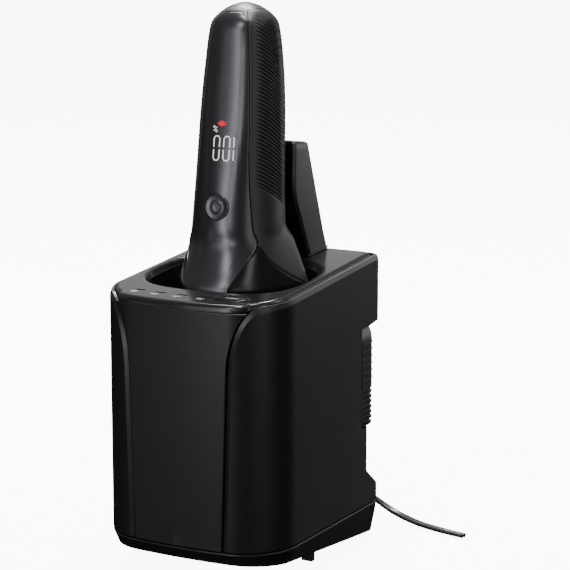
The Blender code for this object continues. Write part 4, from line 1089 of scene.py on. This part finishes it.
def make_power_button():
    """Round key with a raised rim, a shallow dish and a power sign."""
    place = Vector(shaver_point(0.0, BUTTON_Z))
    stations = [(-8.8, 1.5), (-1.3, 1.5), (-1.3, 5.82), (-0.45, 5.82), (-0.2, 5.66), (-0.14, 5.4), (-0.3, 5),
                (-0.42, 4.5), (-0.48, 3.9), (-0.5, 3.3), (-0.48, 2.9), (-0.42, 2.7), (-0.3, 2.55),
                (-0.22, 2.35), (-0.24, 2.1), (-0.3, 1.7), (-0.32, 1.2), (-0.32, 0.4)]
    knob = turned("power_key", place, BUTTON_AXIS, stations, GRAPHITE, 64, 50)
    settle(knob, "power_button", "graphite", "power_button")
    across = Vector((1, 0, 0))
    up = BUTTON_AXIS.cross(across)
    face = place + BUTTON_AXIS * -0.3
    arc = []
    for turn in steps(-50, 230, 24):
        angle = math.radians(turn)
        arc.append(face - up * 0.05 + (across * math.cos(angle) - up * math.sin(angle)) * 0.95)
    for number, line in enumerate((arc, [face + up * 0.25, face + up * 1.15]), 1):
        stroke = ribbon(f"power_sign_{number}", line, BUTTON_AXIS, 0.2, 0.09, PRINT)
        settle(stroke, "power_button", "pale_plastic")


def cover_stroke(name, line, material, width=STROKE):
    """A stroke on the front cover through (x, z) points."""
    places = [cover_point(x, z, -0.02) for x, z in line]
    normal = Vector((0, -1, 0.05)).normalized()
    settle(ribbon(name, places, normal, width, 0.06, material), "shaver", "pale_plastic")


def make_digits():
    """A charge level on the cover, upright when the shaver is held head-up: two noughts and a one."""
    for number, x in enumerate((-2.1, 2.9, 6.3), 1):
        for part, way in (("upper", 1), ("lower", -1)):
            start, shoulder, foot, end = [DISPLAY_MIDDLE_Z + way * d for d in (
                0.55, DISPLAY_HALF - 1.0, DISPLAY_HALF - 0.2, DISPLAY_HALF)]
            left = x - DIGIT_WIDTH / 2
            right = x + DIGIT_WIDTH / 2
            nought = [(left, start), (left, shoulder), (left + 0.75, end), (right - 0.75, end),
                      (right, shoulder), (right, start)]
            line = nought if number < 3 else [(x, start), (x, foot)]
            slanted = [(px - 0.012 * (pz - DISPLAY_MIDDLE_Z), pz) for px, pz in line]
            cover_stroke(f"digit_{number}_{part}", slanted, DIGITS)


def make_signs():
    """The display's percent sign and its red plug."""
    top = DISPLAY_HIGH_Z + 3.0
    cover_stroke("percent_bar", [(-4.3, top - 0.9), (-2.5, top + 0.9)], DIGITS, 0.24)
    for number, (x, z) in enumerate(((-4.0, top + 0.85), (-2.8, top - 0.85)), 1):
        ring = [(x + 0.45 * math.cos(a), z + 0.45 * math.sin(a)) for a in steps(0, 2 * math.pi, 14)]
        cover_stroke(f"percent_ring_{number}", ring, DIGITS, 0.22)
    loops = []
    for inset in (-0.02, -0.1):
        body = [(ICON_X + 1.7 * math.cos(a), ICON_Z + 1.2 * math.sin(a)) for a in turns(28)]
        loops.append([cover_point(x, z, inset) for x, z in body])
    settle(loft("charge_icon_body", loops, CHARGE), "shaver", "pale_plastic")
    for number, z in enumerate((ICON_Z - 0.5, ICON_Z + 0.5), 1):
        cover_stroke(f"charge_icon_prong_{number}", [(ICON_X + 1.3, z), (ICON_X + 2.35, z)], CHARGE, 0.4)
    cover_stroke("charge_icon_lead", [(ICON_X - 1.3, ICON_Z), (ICON_X - 2.2, ICON_Z)], CHARGE, 0.36)


def make_neck_housing():
    """Flared neck: in sight below the grips, and set back behind the front cover and the grips."""
    ways = both_sides(steps(0, 1, 16) + steps(1, 2, 16)[1:] + steps(2, 3, 16)[1:])
    loops = []
    for share in steps(0, 1, 20):
        loop = []
        for way in ways:
            bare = 0.35 if share in (0, 1) else 0.0
            inset = bare if abs(way) > 0.985 else NECK_OUT
            loop.append(shaver_point(way, mix(NECK_LOW_Z, grip_low_z(abs(way)) - GAP, share), inset))
        loops.append(loop)
    for share in steps(0, 1, 3):
        loops.append([shaver_point(w, mix(grip_low_z(abs(w)) - GAP, 150.0, share), NECK_OUT) for w in ways])
    for z in (150.0, 142.0, 134.0, 126.0, 119.0, NECK_LOW_Z):
        loops.append([shaver_point(way, z, NECK_IN) for way in ways])
    housing = loft("neck_housing_shell", loops, NECK, ring=True, smooth=38)
    settle(housing, "shaver", "gloss_black", "neck_housing")


# Carried-over nodes


CARRIED = {
    STEEL: [f"base_screw_{number}" for number in (1, 2, 3, 4)]
    + ["heater_block", "battery", "motor_stator", "motor_mover", "inner_blades", "trimmer_blades"],
    GOLD: ["charging_contact_left", "charging_contact_right"],
    FOOT_RUBBER: ["foot_bar", "foot_rear_left", "foot_rear_right", "neck_seal"],
    SATIN: ["fan_frame", "fan_rotor", "power_socket", "handle_core", "head_carrier", "foil_frame",
            "release_button_left", "release_button_right"],
    PALE: ["pump_body", "pump_impeller", "cleaning_cartridge", "gimbal_ring"],
    CLEAR: ["supply_hose", "cleaning_tray"],
    BOARD: ["dock_board", "main_board"],
    GLOSS: ["display_module", "trimmer_slide"],
    FOIL: ["outer_foils"],
}


def facet_smoother():
    """Node tree for a modifier that shades facets smooth where they meet at a low angle."""
    tree = bpy.data.node_groups.new("facet_smoother", "GeometryNodeTree")
    for way in ("INPUT", "OUTPUT"):
        tree.interface.new_socket("Geometry", in_out=way, socket_type="NodeSocketGeometry")
    angle = add_node(tree, "GeometryNodeInputMeshEdgeAngle").outputs["Unsigned Angle"]
    low = add_node(tree, "FunctionNodeCompare", {"A": angle, "B": math.radians(34.0)}, operation="LESS_THAN")
    source = add_node(tree, "NodeGroupInput").outputs["Geometry"]
    faces = add_node(tree, "GeometryNodeSetShadeSmooth", {"Geometry": source}).outputs["Geometry"]
    inputs = {"Geometry": faces, "Shade Smooth": low.outputs["Result"]}
    edges = add_node(tree, "GeometryNodeSetShadeSmooth", inputs, domain="EDGE").outputs["Geometry"]
    add_node(tree, "NodeGroupOutput", {"Geometry": edges})
    return tree


def dress_carried_nodes():
    """The CAD nodes that no piece replaces get their finish, smooth facets and softly rounded edges."""
    smoother = facet_smoother()
    for material, names in CARRIED.items():
        for name in names:
            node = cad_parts[name]
            node.data.materials.clear()
            node.data.materials.append(material)
            node.modifiers.new("weld", "WELD").merge_threshold = 0.00001
            node.modifiers.new("smooth_facets", "NODES").node_group = smoother
            if name != "supply_hose":
                round_edges(node, 0.22, 2, 34)


# Stage, light and camera


def make_floor():
    """Pale floor that only the camera sees, so that it stays even and its glow doesn't light the object."""
    corners = [(x * FLOOR_HALF_M, y * FLOOR_HALF_M, 0) for x, y in ((-1, -1), (1, -1), (1, 1), (-1, 1))]
    mesh = bpy.data.meshes.new("floor")
    mesh.from_pydata(corners, [], [(0, 1, 2, 3)])
    floor = bpy.data.objects.new("floor", mesh)
    bpy.context.scene.collection.objects.link(floor)
    made = bpy.data.materials.new("pale_floor")
    made.use_nodes = True
    glow = {"Base Color": (0.92, 0.92, 0.92, 1), "Roughness": 0.9, "Specular IOR Level": 0.0,
            "Emission Color": (1, 1, 1, 1), "Emission Strength": FLOOR_GLOW}
    set_inputs(made.node_tree.nodes["Principled BSDF"], glow)
    mesh.materials.append(made)
    floor.visible_glossy = False
    floor.visible_shadow = False
    floor.visible_diffuse = False


def make_world():
    """Studio surround: a faint glow for the object, and as pale as the floor where it is seen directly."""
    world = bpy.data.worlds.new("studio")
    bpy.context.scene.world = world
    world.use_nodes = True
    tree = world.node_tree
    direction = add_node(tree, "ShaderNodeTexCoord").outputs["Generated"]
    height = add_node(tree, "ShaderNodeSeparateXYZ", {"Vector": direction}).outputs["Z"]
    facing = add_node(tree, "ShaderNodeVectorMath", {0: direction, 1: SKY_TOWARDS}, operation="DOT_PRODUCT")
    behind = add_range(tree, facing.outputs["Value"], SKY_SIDE, SKY_HIGH, 0.35, 0.85)
    above = add_range(tree, height, 0.0, 1.0, 0.0, 0.12)
    glow = add_node(tree, "ShaderNodeMath", {0: behind, 1: above, 2: SKY_LOW}, operation="MULTIPLY_ADD")
    seen = add_node(tree, "ShaderNodeLightPath").outputs["Is Camera Ray"]
    strength = add_node(tree, "ShaderNodeMix", {0: seen, 2: glow.outputs["Value"], 3: FLOOR_GLOW}).outputs[0]
    set_inputs(tree.nodes["Background"], {"Color": (1, 1, 1, 1), "Strength": strength})


def make_lights():
    """Softboxes round the object: azimuth from the front in degrees, positive to the right, then distance,
    height, width and length in metres, and watts."""
    softboxes = (
        ("front_high", -9, 1.3, 1.2, 0.3, 0.6, 3.4),
        ("front_tall", -14, 1.3, 0.8, 0.2, 1.6, 2.4),
        ("front_middle", -9, 1.3, 0.5, 0.22, 0.4, 0.75),
        ("front_low", -9, 1.3, 0.1, 0.26, 0.4, 1.8),
        ("front_right", 5, 1.3, 0.35, 0.16, 0.3, 0.9),
        ("left_front", -22, 1.4, 0.5, 0.3, 0.5, 0.86),
        ("left_under", -21, 1.4, -0.05, 0.3, 0.3, 0.4),
        ("left_low", -40, 1.5, -0.2, 0.35, 0.5, 0.32),
        ("left_side", -65, 1.5, 0.4, 0.4, 0.9, 0.12),
        ("right_middle", 52, 1.5, 0.2, 0.3, 0.7, 0.8),
        ("right_side", 70, 1.5, 0.3, 0.3, 0.9, 1.6),
        ("right_high", 70, 1.5, 0.9, 0.3, 0.3, 1.0),
        ("right_top", 118, 1.1, 1.25, 0.5, 0.5, 4),
        ("rear_middle", 152, 1.6, 0.25, 0.8, 0.5, 2.6),
        ("rear_high", 152, 1.6, 0.8, 0.8, 0.4, 0.5),
        ("rear_low", 152, 1.6, -0.45, 0.8, 0.6, 0.27),
        ("back_left", -150, 1.6, 0.55, 0.7, 0.5, 0.5),
        ("back_top", -150, 0.8, 1.4, 0.5, 0.4, 38),
        ("overhead", 0, 0.1, 1.6, 0.5, 0.5, 22),
    )
    middle_m = Vector((0, 0, 0.14))
    for name, azimuth, distance_m, height_m, width_m, length_m, power in softboxes:
        light = bpy.data.lights.new(name, "AREA")
        light.shape = "RECTANGLE"
        light.size = width_m
        light.size_y = length_m
        light.energy = power
        box = bpy.data.objects.new(name, light)
        angle = math.radians(azimuth)
        box.location = Vector((distance_m * math.sin(angle), -distance_m * math.cos(angle), height_m))
        box.rotation_euler = (middle_m - box.location).to_track_quat("-Z", "Y").to_euler()
        box.visible_camera = False
        bpy.context.scene.collection.objects.link(box)


def make_camera():
    """A long lens from the front right, a little above the dock."""
    data = bpy.data.cameras.new("camera")
    data.lens = CAMERA_LENS
    data.sensor_width = 36
    data.clip_end = 100
    camera = bpy.data.objects.new("camera", data)
    camera.location = CAMERA_PLACE_M
    camera.rotation_euler = (math.radians(90 - CAMERA_PITCH), 0, math.radians(CAMERA_AZIMUTH))
    bpy.context.scene.collection.objects.link(camera)
    bpy.context.scene.camera = camera


# Assembly


def build():
    make_base()
    make_side_panel(-1, "left")
    make_side_panel(1, "right")
    make_rear_shell()
    make_vent_grille()
    make_deck()
    make_lamps()
    make_select_button()
    make_well_cup()
    make_post()
    make_plug()
    make_cord()
    make_front_panel()
    make_front_cover()
    make_grips()
    make_back_cover()
    make_end_cap()
    make_power_button()
    make_digits()
    make_signs()
    make_neck_housing()
    dress_carried_nodes()
    make_floor()
    make_world()
    make_lights()
    make_camera()


build()
